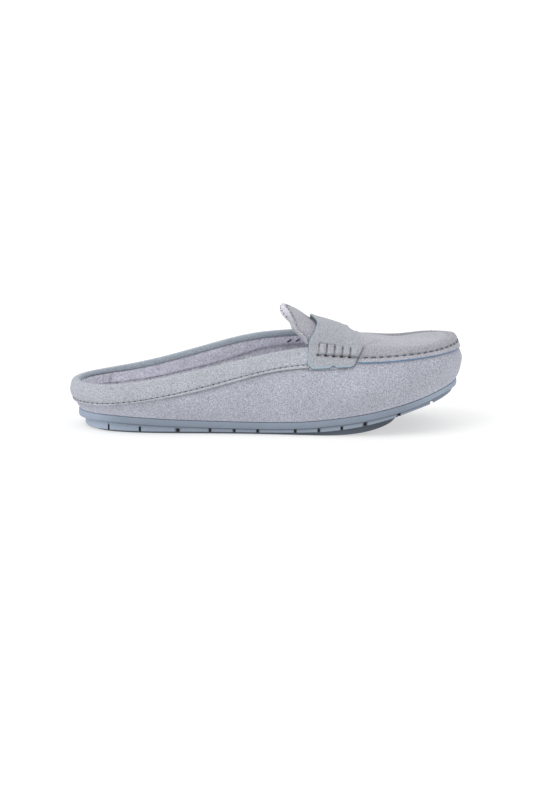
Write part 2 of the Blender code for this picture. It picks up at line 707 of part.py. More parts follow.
def sole_cuts():
    """The slits round the lower tier and the flex grooves across the tread pad."""
    faces = []
    for share in SLITS_AT:
        turn = turn_of(share)
        for side in (LATERAL, MEDIAL):
            height = SLIT_HEIGHT if share < HEEL_TO else SLIT_THIN
            out = plan_normal(turn, side)
            x, y = ring(turn, side, tier_inset(turn))
            below = SLIT_DEPTH / CUT_BEYOND
            middle = np.array([x, y, tier_bottom(x) + (height - below) / 2])
            faces += box(middle, out, (SLIT_DEPTH * 2, SLIT_WIDTH, height + below))
        if SLITS_AT[0] < share < PAD_FRONT_AT - SLIT_WIDTH / LENGTH:
            x = HEEL_X + (LENGTH - HEEL_X) * share
            middle = np.array([x, 0.0, pad_bottom(x)])
            faces += box(middle, np.array([0.0, 1.0]), (BALL_WIDTH * 2, GROOVE_WIDTH, GROOVE_DEPTH * 2))
    return faces


for leftover in list(bpy.data.objects):
    bpy.data.objects.remove(leftover, do_unlink=True)

sole = solid("outsole", make_outsole(), (0.30, 0.34, 0.38), 0.6)
cuts = solid("sole_cuts", sole_cuts(), (0.1, 0.1, 0.1), 0.6)
cuts.hide_render = True
cuts.display_type = "WIRE"
cutting = sole.modifiers.new("slits and grooves", "BOOLEAN")
cutting.object = cuts
cutting.operation = "DIFFERENCE"
solid("insole", make_insole(), (0.45, 0.42, 0.50), 0.8)
solid("upper", make_upper(), (0.52, 0.54, 0.58), 0.9)
solid("collar_band", make_band(), (0.50, 0.54, 0.57), 0.9)
solid("strap", make_strap(), (0.55, 0.56, 0.60), 0.9)
solid("tongue", make_tongue(), (0.55, 0.56, 0.60), 0.9)
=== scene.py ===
"""Looks of a suede moccasin loafer with a low back, right shoe, on a pale studio floor."""

import math
from collections import namedtuple
from functools import lru_cache

import bmesh
import bpy
import numpy as np
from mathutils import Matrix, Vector


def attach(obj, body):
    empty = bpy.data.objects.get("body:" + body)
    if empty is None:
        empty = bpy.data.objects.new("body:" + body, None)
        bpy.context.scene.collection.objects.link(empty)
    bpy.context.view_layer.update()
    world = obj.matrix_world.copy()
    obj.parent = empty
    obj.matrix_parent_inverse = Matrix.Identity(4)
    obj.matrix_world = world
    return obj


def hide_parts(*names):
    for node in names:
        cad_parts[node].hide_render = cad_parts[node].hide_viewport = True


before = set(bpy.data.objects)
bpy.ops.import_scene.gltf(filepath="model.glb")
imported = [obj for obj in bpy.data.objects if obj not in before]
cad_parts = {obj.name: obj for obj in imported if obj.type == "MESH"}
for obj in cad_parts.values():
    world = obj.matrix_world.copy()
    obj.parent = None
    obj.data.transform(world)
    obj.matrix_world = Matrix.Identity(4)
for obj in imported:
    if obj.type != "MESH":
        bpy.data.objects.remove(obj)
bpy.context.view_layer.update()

# Outsole
# One moulded rubber unit: a lip all round, a lower tier slit from below so that it bends,
# and a tread pad with flex grooves. The suede stands out over its lip.

LENGTH = 0.252
BALL_WIDTH = 0.0924
INSTEP_HEIGHT = 0.0617
SOLE_HEIGHT = 0.0113
TOE_SPRING = 0.0232
BAND = 0.0012
GAP = 0.0003
HEEL_X = BAND + GAP
OVERHANG = 0.0035
LATERAL = -1
MEDIAL = 1


def table(names, *rows):
    """A table's rows, with a name for each of their numbers."""
    kind = namedtuple("Row", names)
    return [kind(*row) for row in rows]


# A row for each section of the last. at: share of the length. centre, half: shares of the ball width.
# rise, thick: the lip's height as shares of the toe spring and the sole height.
# belly_up: height of the widest place as a share of the edge's height above the lip.
# edge_in, crest_in: plan distance in from the widest place, as shares of the ball width.
# edge_up, inner_up, crest_up, dip, top_up: heights above the lip as shares of the instep height,
# where inner_up raises the edge on the inner side and dip lowers the crest there.
LAST = table(
    "at centre half rise thick belly_up edge_in edge_up inner_up crest_in crest_up dip top_up",
    (0.000, 0.000, 0.000, 0.000, 1.00, 0.62, 0.006, 0.271, 0.000, 0.017, 0.400, 0.000, 1.140),
    (0.024, 0.000, 0.205, 0.000, 1.01, 0.61, 0.010, 0.270, 0.000, 0.021, 0.400, 0.000, 1.140),
    (0.095, 0.000, 0.340, 0.000, 1.01, 0.57, 0.022, 0.288, 0.005, 0.033, 0.420, 0.000, 1.140),
    (0.206, -0.016, 0.376, 0.000, 0.89, 0.50, 0.038, 0.373, 0.028, 0.050, 0.505, 0.000, 1.140),
    (0.345, -0.025, 0.375, 0.000, 0.77, 0.44, 0.055, 0.512, 0.074, 0.068, 0.645, 0.000, 1.140),
    (0.476, -0.026, 0.396, 0.000, 0.73, 0.40, 0.086, 0.653, 0.074, 0.110, 0.790, 0.000, 1.140),
    (0.544, -0.021, 0.423, 0.010, 0.74, 0.39, 0.113, 0.703, 0.042, 0.158, 0.925, 0.018, 1.141),
    (0.583, -0.015, 0.443, 0.025, 0.75, 0.38, 0.130, 0.717, 0.026, 0.168, 0.898, 0.050, 1.068),
    (0.607, -0.011, 0.455, 0.035, 0.77, 0.38, 0.135, 0.714, 0.020, 0.175, 0.870, 0.070, 1.000),
    (0.651, -0.005, 0.475, 0.070, 0.81, 0.38, 0.112, 0.652, 0.016, 0.158, 0.797, 0.080, 0.920),
    (0.698, 0.000, 0.491, 0.140, 0.81, 0.38, 0.090, 0.590, 0.014, 0.142, 0.725, 0.075, 0.836),
    (0.754, 0.004, 0.500, 0.255, 0.79, 0.39, 0.074, 0.545, 0.012, 0.124, 0.669, 0.072, 0.752),
    (0.817, 0.011, 0.492, 0.430, 0.74, 0.42, 0.060, 0.498, 0.010, 0.106, 0.614, 0.085, 0.666),
    (0.905, 0.027, 0.418, 0.730, 0.64, 0.50, 0.046, 0.421, 0.005, 0.086, 0.525, 0.042, 0.559),
    (0.972, 0.040, 0.240, 0.950, 0.61, 0.59, 0.028, 0.347, 0.000, 0.068, 0.460, 0.012, 0.474),
    (1.000, 0.042, 0.000, 1.000, 0.63, 0.62, 0.020, 0.316, 0.000, 0.062, 0.447, 0.000, 0.447),
)


def turn_of(share):
    """Angle share from heel (0) to toe (1) of a place given as a share of the length."""
    return math.acos(1 - 2 * min(max(share, 0.0), 1.0)) / math.pi


def share_of(turn):
    return (1 - math.cos(math.pi * turn)) / 2


def natural_spline(xs, ys):
    """Second derivatives of the natural cubic through the points."""
    n = len(xs)
    matrix = np.eye(n)
    right = np.zeros(n)
    for i in range(1, n - 1):
        before = xs[i] - xs[i - 1]
        after = xs[i + 1] - xs[i]
        matrix[i, i - 1:i + 2] = before / 6, (before + after) / 3, after / 6
        right[i] = (ys[i + 1] - ys[i]) / after - (ys[i] - ys[i - 1]) / before
    return np.linalg.solve(matrix, right)


def curve(xs, ys):
    """The natural cubic through the points, as a function."""
    second = natural_spline(xs, ys)

    @lru_cache(maxsize=None)
    def read(at):
        i = min(max(int(np.searchsorted(xs, at)) - 1, 0), len(xs) - 2)
        width = xs[i + 1] - xs[i]
        a = (xs[i + 1] - at) / width
        b = 1 - a
        bend = (a ** 3 - a) * second[i] + (b ** 3 - b) * second[i + 1]
        return float(a * ys[i] + b * ys[i + 1] + bend * width ** 2 / 6)

    return read


def column(name, odd=False):
    """The table's column as a smooth function of the turn, mirrored past heel and toe."""
    turns = [turn_of(row.at) for row in LAST]
    values = [getattr(row, name) for row in LAST]
    sign = -1 if odd else 1
    xs = [-t for t in turns[:0:-1]] + turns + [2 - t for t in turns[-2::-1]]
    ys = [sign * v for v in values[:0:-1]] + values + [sign * v for v in values[-2::-1]]
    return curve(xs, ys)


def row_curve(rows, name):
    """A short table's column as a smooth function, mirrored past its last row."""
    places = [row.along for row in rows]
    values = [getattr(row, name) for row in rows]
    mirrored = [2 * places[-1] - place for place in places[-2::-1]]
    return curve(places + mirrored, values + values[-2::-1])


centre = column("centre")
half = column("half", odd=True)
rise = column("rise")
thick = column("thick")


def smooth(value, start, end):
    """0 before start, 1 past end, with no corner between."""
    part = np.clip((np.asarray(value, dtype=float) - start) / (end - start), 0.0, 1.0)
    return part * part * (3 - 2 * part)


def ramp(turn, start, end):
    """0 at sections before start, 1 past end, as shares of the length."""
    return float(smooth(share_of(turn), start, end))


def girth(turn, side):
    """The widest line of the last in plan, measured from the heel."""
    x = HEEL_X + (LENGTH - HEEL_X) * share_of(turn)
    y = BALL_WIDTH * (centre(turn) + side * half(turn))
    return np.array([x, y])


@lru_cache(maxsize=None)
def plan_normal(turn, side):
    step = 1e-4
    ahead = girth(turn + step, side) - girth(turn - step, side)
    normal = np.array([-ahead[1], ahead[0]]) * side
    return normal / np.linalg.norm(normal)


def ring(turn, side, inset):
    """Plan point at a distance in from the widest line."""
    return girth(turn, side) - plan_normal(turn, side) * inset


def turn_at(x):
    return turn_of((x - HEEL_X) / (LENGTH - HEEL_X))


def spring(x):
    return TOE_SPRING * rise(turn_at(x))


def lip_top(x):
    return spring(x) + SOLE_HEIGHT * thick(turn_at(x))


def round_the_shoe(count):
    """(turn, side) of each section, once round from the heel along the outer side."""
    lateral = [(i / count, LATERAL) for i in range(count)]
    medial = [(i / count, MEDIAL) for i in range(count, 0, -1)]
    return lateral + medial


def toned(points, tone):
    """The points with a tone as their fourth number."""
    points = np.asarray(points, dtype=float)
    tones = np.broadcast_to(tone, points.shape[:-1])[..., None]
    return np.concatenate([points, tones], axis=-1)


def build(name, patches, materials, sharp_degrees=60, node=None):
    """One mesh object from grids of points, (points, material, closed round), joined where they meet.

    A point is x, y, z and may have a fourth number, its tone: how light its colour is there. Most tones are
    painted light and shade.
    """
    points, faces, kinds = [], [], []
    for grid, kind, closed in patches:
        grid = np.asarray(grid, dtype=float)
        if grid.shape[2] == 3:
            grid = toned(grid, 1.0)
        rows, across = grid.shape[:2]
        first = len(points)
        points.extend(grid.reshape(-1, 4))
        for i in range(rows if closed else rows - 1):
            here = first + i * across
            after = first + (i + 1) % rows * across
            for j in range(across - 1):
                faces.append((here + j, after + j, after + j + 1, here + j + 1))
                kinds.append(kind)
    mesh = bpy.data.meshes.new(name)
    points = np.array(points)
    mesh.from_pydata((points[:, :3] - (LENGTH / 2, 0.0, 0.0)).tolist(), [], faces)
    mesh.attributes.new("tone", "FLOAT", "POINT").data.foreach_set("value", points[:, 3])
    mesh.polygons.foreach_set("material_index", kinds)
    for material in materials:
        mesh.materials.append(material)
    bm = bmesh.new()
    bm.from_mesh(mesh)
    bmesh.ops.remove_doubles(bm, verts=bm.verts[:], dist=2e-6)
    bmesh.ops.dissolve_degenerate(bm, edges=bm.edges[:], dist=1e-7)
    bmesh.ops.recalc_face_normals(bm, faces=bm.faces[:])
    bm.to_mesh(mesh)
    bm.free()
    mesh.shade_smooth()
    mesh.set_sharp_from_angle(angle=math.radians(sharp_degrees))
    made = bpy.data.objects.new(name, mesh)
    bpy.context.scene.collection.objects.link(made)
    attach(made, "root")
    if node:
        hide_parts(node)
    return made


def wire(tree, kind, inputs=None, **settings):
    """A shader node with its settings, and its sockets set or joined."""
    made = tree.nodes.new(kind)
    for name, value in settings.items():
        setattr(made, name, value)
    for name, value in (inputs or {}).items():
        if isinstance(value, bpy.types.NodeSocket):
            tree.links.new(value, made.inputs[name])
        else:
            made.inputs[name].default_value = value
    return made


def new_material(name, roughness, specular, **sockets):
    """A material with its shader's even values set, and the tree and shader to add to."""
    material = bpy.data.materials.new(name)
    material.use_nodes = True
    tree = material.node_tree
    shader = tree.nodes["Principled BSDF"]
    sockets.update(Roughness=roughness, Specular_IOR_Level=specular)
    for socket, value in sockets.items():
        shader.inputs[socket.replace("_", " ")].default_value = value
    return material, tree, shader


def make_speckle():
    """Node group: a colour with its tone, fine grain and slow clouds, and the grain's height."""
    group = bpy.data.node_groups.new("speckle", "ShaderNodeTree")
    face = group.interface
    face.new_socket("Colour", in_out="INPUT", socket_type="NodeSocketColor")
    for name in ("Tone", "Grain Scale", "Grain", "Cloud Scale", "Cloud"):
        face.new_socket(name, in_out="INPUT", socket_type="NodeSocketFloat")
    face.new_socket("Colour", in_out="OUTPUT", socket_type="NodeSocketColor")
    face.new_socket("Height", in_out="OUTPUT", socket_type="NodeSocketFloat")
    given = wire(group, "NodeGroupInput").outputs
    where = wire(group, "ShaderNodeTexCoord").outputs["Object"]
    grain = wire(group, "ShaderNodeTexNoise", {
        "Vector": where, "Scale": given["Grain Scale"], "Detail": 3.0, "Roughness": 0.62,
    }).outputs["Fac"]
    cloud = wire(group, "ShaderNodeTexNoise", {
        "Vector": where, "Scale": given["Cloud Scale"], "Detail": 3.0, "Roughness": 0.55,
    }).outputs["Fac"]

    def maths(operation, *values):
        return wire(group, "ShaderNodeMath", dict(enumerate(values)), operation=operation).outputs[0]

    def around_one(fac, amount):
        return maths("MULTIPLY_ADD", maths("SUBTRACT", fac, 0.5), amount, 1.0)

    both = maths("MULTIPLY", around_one(grain, given["Grain"]), around_one(cloud, given["Cloud"]))
    colour = wire(group, "ShaderNodeVectorMath", {
        0: given["Colour"], "Scale": maths("MULTIPLY", both, given["Tone"]),
    }, operation="SCALE").outputs[0]
    wire(group, "NodeGroupOutput", {"Colour": colour, "Height": grain})
    return group


speckle = make_speckle()


Finish = namedtuple("Finish", "roughness specular grain_scale grain cloud_scale cloud bump depth")


def speckled(name, colour, finish, **sockets):
    """A material of speckled colour, toned by the mesh, with the bump of its grain.

    The finish gives the size and strength of the grain and of the clouds, and the bump's strength and depth.
    """
    material, tree, shader = new_material(name, finish.roughness, finish.specular, **sockets)
    made = wire(tree, "ShaderNodeGroup", {
        "Tone": wire(tree, "ShaderNodeAttribute", attribute_name="tone").outputs["Fac"],
        "Colour": (*colour, 1.0), "Grain Scale": finish.grain_scale, "Grain": finish.grain,
        "Cloud Scale": finish.cloud_scale, "Cloud": finish.cloud,
    }, node_tree=speckle)
    raised = wire(tree, "ShaderNodeBump", {
        "Height": made.outputs["Height"], "Strength": finish.bump, "Distance": finish.depth,
    })
    tree.links.new(made.outputs["Colour"], shader.inputs["Base Color"])
    tree.links.new(raised.outputs["Normal"], shader.inputs["Normal"])
    return material


LIP = 0.0043
STEP_SIDE = 0.0020
STEP_HEEL = 0.0042
STEP_TOE = 0.0030
TREAD_DEPTH = 0.0013
TIER_DOWN = (0.86, 0.95)
PAD_IN = 0.0019
PAD_HEEL_IN = 0.0040
FLAT_FROM = 0.095
FLAT_TO = 0.625
PAD_FRONT_AT = 0.838
PAD_ROUND_AT = 0.690
PAD_FRONT_UP = 0.260
PAD_HEEL_UP = 0.0012
PAD_SIDE_PART = 0.66
PAD_FRONT_POWER = 0.8
END_POWER = 4
HEEL_TO = 0.22
SLIT_WIDTH = 0.0011
SLIT_DEPTH = 0.0016
SLIT_HEIGHT = 0.0031
SLIT_THIN = 0.0024
GROOVE_WIDTH = 0.0022
GROOVE_DEPTH = 0.0010
GROOVE_STOPS = 0.0120
SLITS_AT = [0.081, 0.169, 0.269, 0.352, 0.414, 0.471, 0.568, 0.628, 0.688, 0.750, 0.843, 0.938]
SOFT_EDGE = 0.0006
LIP_TOE_THIN = 0.20
TOE_NOTCH_AT = 0.938
TOE_NOTCH_WIDTH = 0.0018
TOE_NOTCH_DEPTH = 0.0095
TOE_NOTCH_HEIGHT = 0.0017
# Tones of the sole's edge: the lip paler toward heel and toe; the lower tier painted lighter against the
# shade under the lip, more so at the heel, and painted darker as shade under the toe
PALE_HEEL = (0.03, 0.14)
PALE_TOE = (0.84, 0.96)
PALER = 0.40
TIER_TONE = 1.07
TIER_HEEL = 0.34
TIER_TOE = 0.28
SOLE_SHARP = 38
# Painted shade inside the slits and tread grooves: their cut faces get this tone and a near-black rubber
SLIT_FACE_SHADE = 0.9
# Moulded rubber: matte, with a fine mould grain
RUBBER = Finish(
    roughness=0.62, specular=0.3, grain_scale=1500.0, grain=0.35, cloud_scale=45.0, cloud=0.18, bump=0.25,
    depth=0.0001,
)


def pad_bottom(x):
    """Height of the tread pad's face: flat in the middle, rising to heel and toe."""
    front = max(x / LENGTH - FLAT_TO, 0.0) / (PAD_FRONT_AT - FLAT_TO)
    back = max(FLAT_FROM - x / LENGTH, 0.0) / FLAT_FROM
    return TOE_SPRING * PAD_FRONT_UP * front ** 2 + PAD_HEEL_UP * back ** 2


def tier_inset(turn):
    end = abs(math.cos(math.pi * turn)) ** END_POWER
    step = STEP_HEEL if turn < 0.5 else STEP_TOE
    return OVERHANG + STEP_SIDE + (step - STEP_SIDE) * end


def tier_bottom(x):
    """Height of the lower tier's underside, which comes down past the pad's front."""
    return spring(x) + TREAD_DEPTH * (1 - ramp(turn_at(x), *TIER_DOWN))


def pad_point(turn, side, inset=0.0):
    """Plan point of the tread pad, with its own round front."""
    if turn <= PAD_SIDE_PART:
        own = turn_of(PAD_ROUND_AT) * turn / PAD_SIDE_PART
        narrow = 1.0
    else:
        angle = (turn - PAD_SIDE_PART) / (1 - PAD_SIDE_PART) * math.pi / 2
        front = PAD_FRONT_AT - inset / LENGTH
        own = turn_of(PAD_ROUND_AT + (front - PAD_ROUND_AT) * math.sin(angle))
        narrow = max(math.cos(angle), 0.0) ** PAD_FRONT_POWER
    heel = max(math.cos(math.pi * own), 0.0) ** END_POWER
    x, y = ring(own, side, tier_inset(own) + PAD_IN + (PAD_HEEL_IN - PAD_IN) * heel + inset)
    middle_y = BALL_WIDTH * centre(own)
    return x, middle_y + (y - middle_y) * narrow


def sole_profile(turn, side):
    """The sole's edge at one section, from the top of its lip to the tread, each point with its tone of
    painted light and shade.
    """
    rows = []
    heel = 1 - ramp(turn, *PALE_HEEL)
    toe = ramp(turn, *PALE_TOE)
    paler = 1.0 + PALER * heel + PALER * toe
    tier_tone = (TIER_TONE + TIER_HEEL * heel) * (1 - TIER_TOE * toe)
    lip = LIP * (1 - LIP_TOE_THIN * toe)
    # The lip: a painted highlight along its top edge and painted shade along its lower edge
    for inset, down, tone in (
        (0.004, 0.0, 1.5), (SOFT_EDGE, 0.0, 1.35), (SOFT_EDGE * 0.3, SOFT_EDGE * 0.3, 1.16),
        (0.0, SOFT_EDGE, 1.06), (-0.0001, lip * 0.5, 1.0), (0.0, lip - SOFT_EDGE, 0.96),
        (SOFT_EDGE * 0.3, lip - SOFT_EDGE * 0.25, 0.80), (SOFT_EDGE, lip, 0.45),
    ):
        x, y = ring(turn, side, OVERHANG + inset)
        rows.append((x, y, lip_top(x) - down, tone * paler))
    inset = tier_inset(turn)
    x, y = ring(turn, side, inset)
    bottom = tier_bottom(x)
    step = lip_top(x) - lip
    # The lower tier: a line of painted shade at the step under the lip, then painted lighter
    for up, tone in (
        (step, 0.40), (step - SOFT_EDGE, 0.80 * tier_tone), (step - SOFT_EDGE * 2, 1.20 * tier_tone),
        (bottom + SOFT_EDGE, 1.26 * tier_tone),
    ):
        rows.append((x, y, up, tone))
    # Painted shade on the tier's lower edge and the tread pad, which lie in shadow under the shoe
    x, y = ring(turn, side, inset + SOFT_EDGE)
    rows.append((x, y, bottom, 0.8))
    x, y = pad_point(turn, side)
    rows.append((x, y, tier_bottom(x), 0.4))
    rows.append((x, y, pad_bottom(x) + SOFT_EDGE, 0.42))
    x, y = pad_point(turn, side, SOFT_EDGE)
    rows.append((x, y, pad_bottom(x), 0.55))
    return rows


def closed_ring(grid):
    """Patches of sections once round the shoe, with flat caps between its outer and inner side."""
    patches = [(grid, 0, True)]
    count = len(grid) // 2
    for j in (0, len(grid[0]) - 1):
        lateral = [grid[i][j] for i in range(count + 1)]
        medial = [grid[0][j]] + [grid[-i][j] for i in range(1, count)] + [grid[count][j]]
        middle = [tuple((np.array(a) + np.array(b)) / 2) for a, b in zip(lateral, medial)]
        patches.append(([lateral, middle, medial], 0, False))
    return patches


def box_faces(middle, along, size):
    """The six faces of a box as patches: its middle, the plan direction of its length, its sizes."""
    forward = np.array([along[0], along[1], 0.0]) * size[0] / 2
    sideways = np.array([-along[1], along[0], 0.0]) * size[1] / 2
    up = np.array([0.0, 0.0, size[2] / 2])
    patches = []
    for a, b, c in ((forward, sideways, up), (sideways, up, forward), (up, forward, sideways)):
        for sign in (-1, 1):
            face = middle + sign * a
            corners = [[face - b - c, face - b + c], [face + b - c, face + b + c]]
            patches.append((toned(corners, SLIT_FACE_SHADE), 0, False))
    return patches


def make_outsole():
    rubber = speckled("sole rubber", (0.216, 0.255, 0.316), RUBBER)
    # The cut faces of slits and grooves: near-black rubber, painted shade
    slit_shade_rubber = speckled("slit shade rubber", (0.060, 0.070, 0.088), RUBBER)
    grid = [sole_profile(turn, side) for turn, side in round_the_shoe(150)]
    sole = build("rubber_sole", closed_ring(grid), [rubber], SOLE_SHARP, "outsole")
    below = SLIT_DEPTH / 4
    across = (0.0, 1.0)
    cuts = []
    for share in SLITS_AT:
        turn = turn_of(share)
        height = SLIT_HEIGHT if share < HEEL_TO else SLIT_THIN
        for side in (LATERAL, MEDIAL):
            x, y = ring(turn, side, tier_inset(turn))
            middle = np.array([x, y, tier_bottom(x) + (height - below) / 2])
            size = (SLIT_DEPTH * 2, SLIT_WIDTH, height + below)
            if share < TOE_NOTCH_AT:
                cuts += box_faces(middle, plan_normal(turn, side), size)
            else:
                middle[2] += (TOE_NOTCH_HEIGHT - height) / 2
                size = (TOE_NOTCH_DEPTH * 2, TOE_NOTCH_WIDTH, TOE_NOTCH_HEIGHT + below)
                cuts += box_faces(middle, across, size)
        if SLITS_AT[0] < share < PAD_FRONT_AT - SLIT_WIDTH / LENGTH:
            x = HEEL_X + (LENGTH - HEEL_X) * share
            ends = [ring(turn, side, GROOVE_STOPS)[1] for side in (LATERAL, MEDIAL)]
            middle = np.array([x, sum(ends) / 2, pad_bottom(x)])
            cuts += box_faces(middle, across, (ends[1] - ends[0], GROOVE_WIDTH, GROOVE_DEPTH * 2))
    cutter = build("cutter", cuts, [slit_shade_rubber], SOLE_SHARP)
    cutting = sole.modifiers.new("slits", "BOOLEAN")
    cutting.object = cutter
    cutting.material_mode = "TRANSFER"
    graph = bpy.context.evaluated_depsgraph_get()
    carved = bpy.data.meshes.new_from_object(sole.evaluated_get(graph))
    sole.modifiers.clear()
    sole.data = carved
    carved.set_sharp_from_angle(angle=math.radians(SOLE_SHARP))
    bpy.data.objects.remove(cutter, do_unlink=True)


make_outsole()


# Insole
# A padded sock of foam under smooth lining leather. It lies loose on the sole inside the wall,
# with its edge turned up a little against it.

WALL = 0.0020
FEATHER_IN = 0.0008
TURN_IN = 0.0024
INSOLE = 0.0036
INSOLE_DISH = 0.0009
# Smooth lavender lining leather, mottled where the foam behind it is stuck on
LEATHER = Finish(
    roughness=0.6, specular=0.25, grain_scale=800.0, grain=1.5, cloud_scale=120.0, cloud=0.55, bump=0.9,
    depth=0.0006,
)
lining_leather = speckled("lining leather", (0.740, 0.738, 0.808), LEATHER)


def make_insole():
    foot_in = OVERHANG + FEATHER_IN + WALL + GAP * 2
    top_in = TURN_IN + WALL + GAP * 3
    profile = [
        (foot_in, GAP), (foot_in, GAP + INSOLE * 0.25), (top_in + 0.0010, GAP + INSOLE * 0.72),
        (top_in + 0.0003, GAP + INSOLE * 0.86), (top_in + 0.0004, GAP + INSOLE * 0.96),
        (top_in + 0.0012, GAP + INSOLE), (top_in + 0.003, GAP + INSOLE - INSOLE_DISH * 0.3),
        (top_in + 0.006, GAP + INSOLE - INSOLE_DISH),
    ]
    grid = []
    for turn, side in round_the_shoe(90):
        row = []
        for inset, up in profile:
            x, y = ring(turn, side, inset)
            row.append((x, y, lip_top(x) + up))
        grid.append(row)
    sock = build("sock", closed_ring(grid), [lining_leather], node="insole")


make_insole()


# Upper
# A moccasin: suede wraps up from under the foot, and the apron's skirt laps over it and is
# stitched through, which raises a soft ridge round the sunk top. The cut edge is painted blue.
# Inside it is lined with leather, with foam in the collar.

RIM_WALL = 0.0032
FEATHER_TURN = 0.0032
LAP = 0.0013
LAP_BEVEL = 0.009
PLUG_SINK = 0.0009
PLUG_SLOPE = 0.0045
THROAT_AT = 0.655
STRAP_NEAR_AT = 0.600
LAP_STARTS = (0.722, 0.738)
SHOULDER_UP = 0.55
SHOULDER_IN = 0.30
CREST_EASE = 1.2
Level = namedtuple("Level", "along out up")
FOOT = Level(0.00, 1.00, 0.00)
TURN = Level(0.05, 1.00, 0.00)
BELLY = Level(0.17, 1.00, 0.00)
SHOULDER = Level(0.30, 0.97, 0.24)
EDGE = Level(0.42, 0.93, 0.37)
CREST = Level(0.54, 0.50, 0.87)
SEAM_ALONG = 0.457
SEAM_GROOVE = 0.0007
RIDGE = 0.0005
TOE_PLUMP = 0.0009
LAP_RISE = 0.021
SEAM_RISE = 0.031
SEAM_WIDE = 0.010
RIDGE_WIDE = 0.030
PLUMP_AT = 0.50
PLUMP_WIDE = 0.045
PULL = 0.00012
PULL_WAVES = 310.0
PULL_UP = 0.022
# Where a change starts and is complete: shares of the length, and for SHADE distances from the crest
TOE_FACE = (0.955, 1.0)
SHADED_FROM = (0.775, 0.83)
SHADED_INNER = (0.93, 1.0)
SHADE_STARTS = (0.0, 0.0005)
SHADE_ENDS = (0.0026, 0.0040)
REAR_SHADE = (0.74, 0.80)
# How much darker or paler a place is: painted shade in the stitched groove, on the ridge's faces, at the
# apron's rear, in its creases and under the lapped edge; painted light along the foot; paler toward the toe
# and low on the heel
SEAM_TONE = 0.25
OUTER_TONE = 0.14
INNER_TONE = 0.34
REAR_TONE = 0.03
SUEDE_SHARP = 50
CREASE_TONE = 0.10
LAP_SHADE = 0.30
LAP_SHADE_WIDE = 0.012
TOE_PALER = 0.05
FOOT_PALER = 0.22
HEEL_PALER = 0.04

belly_up, edge_in, edge_up, inner_up = map(column, ("belly_up", "edge_in", "edge_up", "inner_up"))
crest_in, crest_up, dip, top_up = map(column, ("crest_in", "crest_up", "dip", "top_up"))


@lru_cache(maxsize=None)
def levels(turn, side):
    """The section's points and facings from its foot to the crest, on one side."""
    out = plan_normal(turn, side)
    edge = INSTEP_HEIGHT * (edge_up(turn) + (inner_up(turn) if side == MEDIAL else 0.0))
    crest = INSTEP_HEIGHT * (crest_up(turn) - (dip(turn) if side == MEDIAL else 0.0))
    belly = edge * belly_up(turn)
    edge_inset = BALL_WIDTH * edge_in(turn)
    steps = [
        (FOOT, OVERHANG + FEATHER_IN, GAP),
        (TURN, TURN_IN, FEATHER_TURN),
        (BELLY, 0.0, belly),
        (SHOULDER, edge_inset * SHOULDER_IN, belly + (edge - belly) * SHOULDER_UP),
        (EDGE, edge_inset, edge),
        (CREST, BALL_WIDTH * crest_in(turn), crest),
    ]
    points = []
    for level, inset, up in steps:
        x, y = ring(turn, side, inset)
        value = (x, y, lip_top(x) + up, out[0] * level.out, out[1] * level.out, level.up)
        points.append((level.along, value))
    return points


@lru_cache(maxsize=None)
def whole_section(turn):
    """Knots, and each stretch's ends and end slopes, from the outer foot over the top to the inner foot."""
    toward_toe = max(-math.cos(math.pi * turn), 0.0) ** 2
    x = girth(turn, LATERAL)[0] - BALL_WIDTH * crest_in(turn) * toward_toe
    top = (x, BALL_WIDTH * centre(turn), lip_top(x) + INSTEP_HEIGHT * top_up(turn), 0.0, 0.0, 1.0)
    rows = [(-1 + along, value) for along, value in levels(turn, LATERAL)]
    rows.append((0.0, top))
    rows += [(1 - along, value) for along, value in reversed(levels(turn, MEDIAL))]
    knots = np.array([row[0] for row in rows])
    values = np.array([row[1] for row in rows])
    slopes = np.gradient(values, knots, axis=0)
    before, after = slopes[:-1].copy(), slopes[1:].copy()
    for i in range(len(knots) - 1):
        if abs(knots[i] + knots[i + 1]) / 2 < 1 - CREST.along:
            width = knots[i + 1] - knots[i]
            longest = CREST_EASE * np.linalg.norm((values[i + 1] - values[i])[:3]) / width
            for slope in (before[i], after[i]):
                steepness = np.linalg.norm(slope[:3])
                slope *= min(1.0, longest / max(steepness, longest, 1e-4))
    return knots, values, before, after


def skin_row(turn, side, along, lift=0.0):
    """Points on the last's section at many places along it, lifted off the surface."""
    knots, values, before, after = whole_section(turn)
    along = np.asarray(along, dtype=float)
    if turn == 1:
        along = np.minimum(along, CREST.along)
    place = side * (1 - along)
    i = np.clip(np.searchsorted(knots, place) - 1, 0, len(knots) - 2)
    width = (knots[i + 1] - knots[i])[:, None]
    s = (place - knots[i])[:, None] / width
    value = (
        values[i] * (2 * s ** 3 - 3 * s ** 2 + 1)
        + values[i + 1] * (3 * s ** 2 - 2 * s ** 3)
        + before[i] * width * (s ** 3 - 2 * s ** 2 + s)
        + after[i] * width * (s ** 3 - s ** 2)
    )
    facing = value[:, 3:] / np.linalg.norm(value[:, 3:], axis=1)[:, None]
    return value[:, :3] + facing * np.reshape(lift, (-1, 1))


def skin(turn, side, along, lift=0.0):
    return skin_row(turn, side, [along], lift)[0]


def facing(turn, side, along):
    """Unit direction out of the wall."""
    lower, upper = skin_row(turn, side, [along, along], [0.0, 1.0])
    return upper - lower


@lru_cache(maxsize=None)
def crest_ring():
    """Plan points along the apron's crest, from throat to throat round the toe."""
    turns = [0.5 + 0.5 * i / 160 for i in range(161)]
    return np.array([skin(t, side, CREST.along)[:2] for side in (LATERAL, MEDIAL) for t in turns])


def bell(value, middle, wide):
    """1 at the middle, falling softly to nothing some way beyond it."""
    return np.exp(-(((np.asarray(value, dtype=float) - middle) / wide) ** 2))


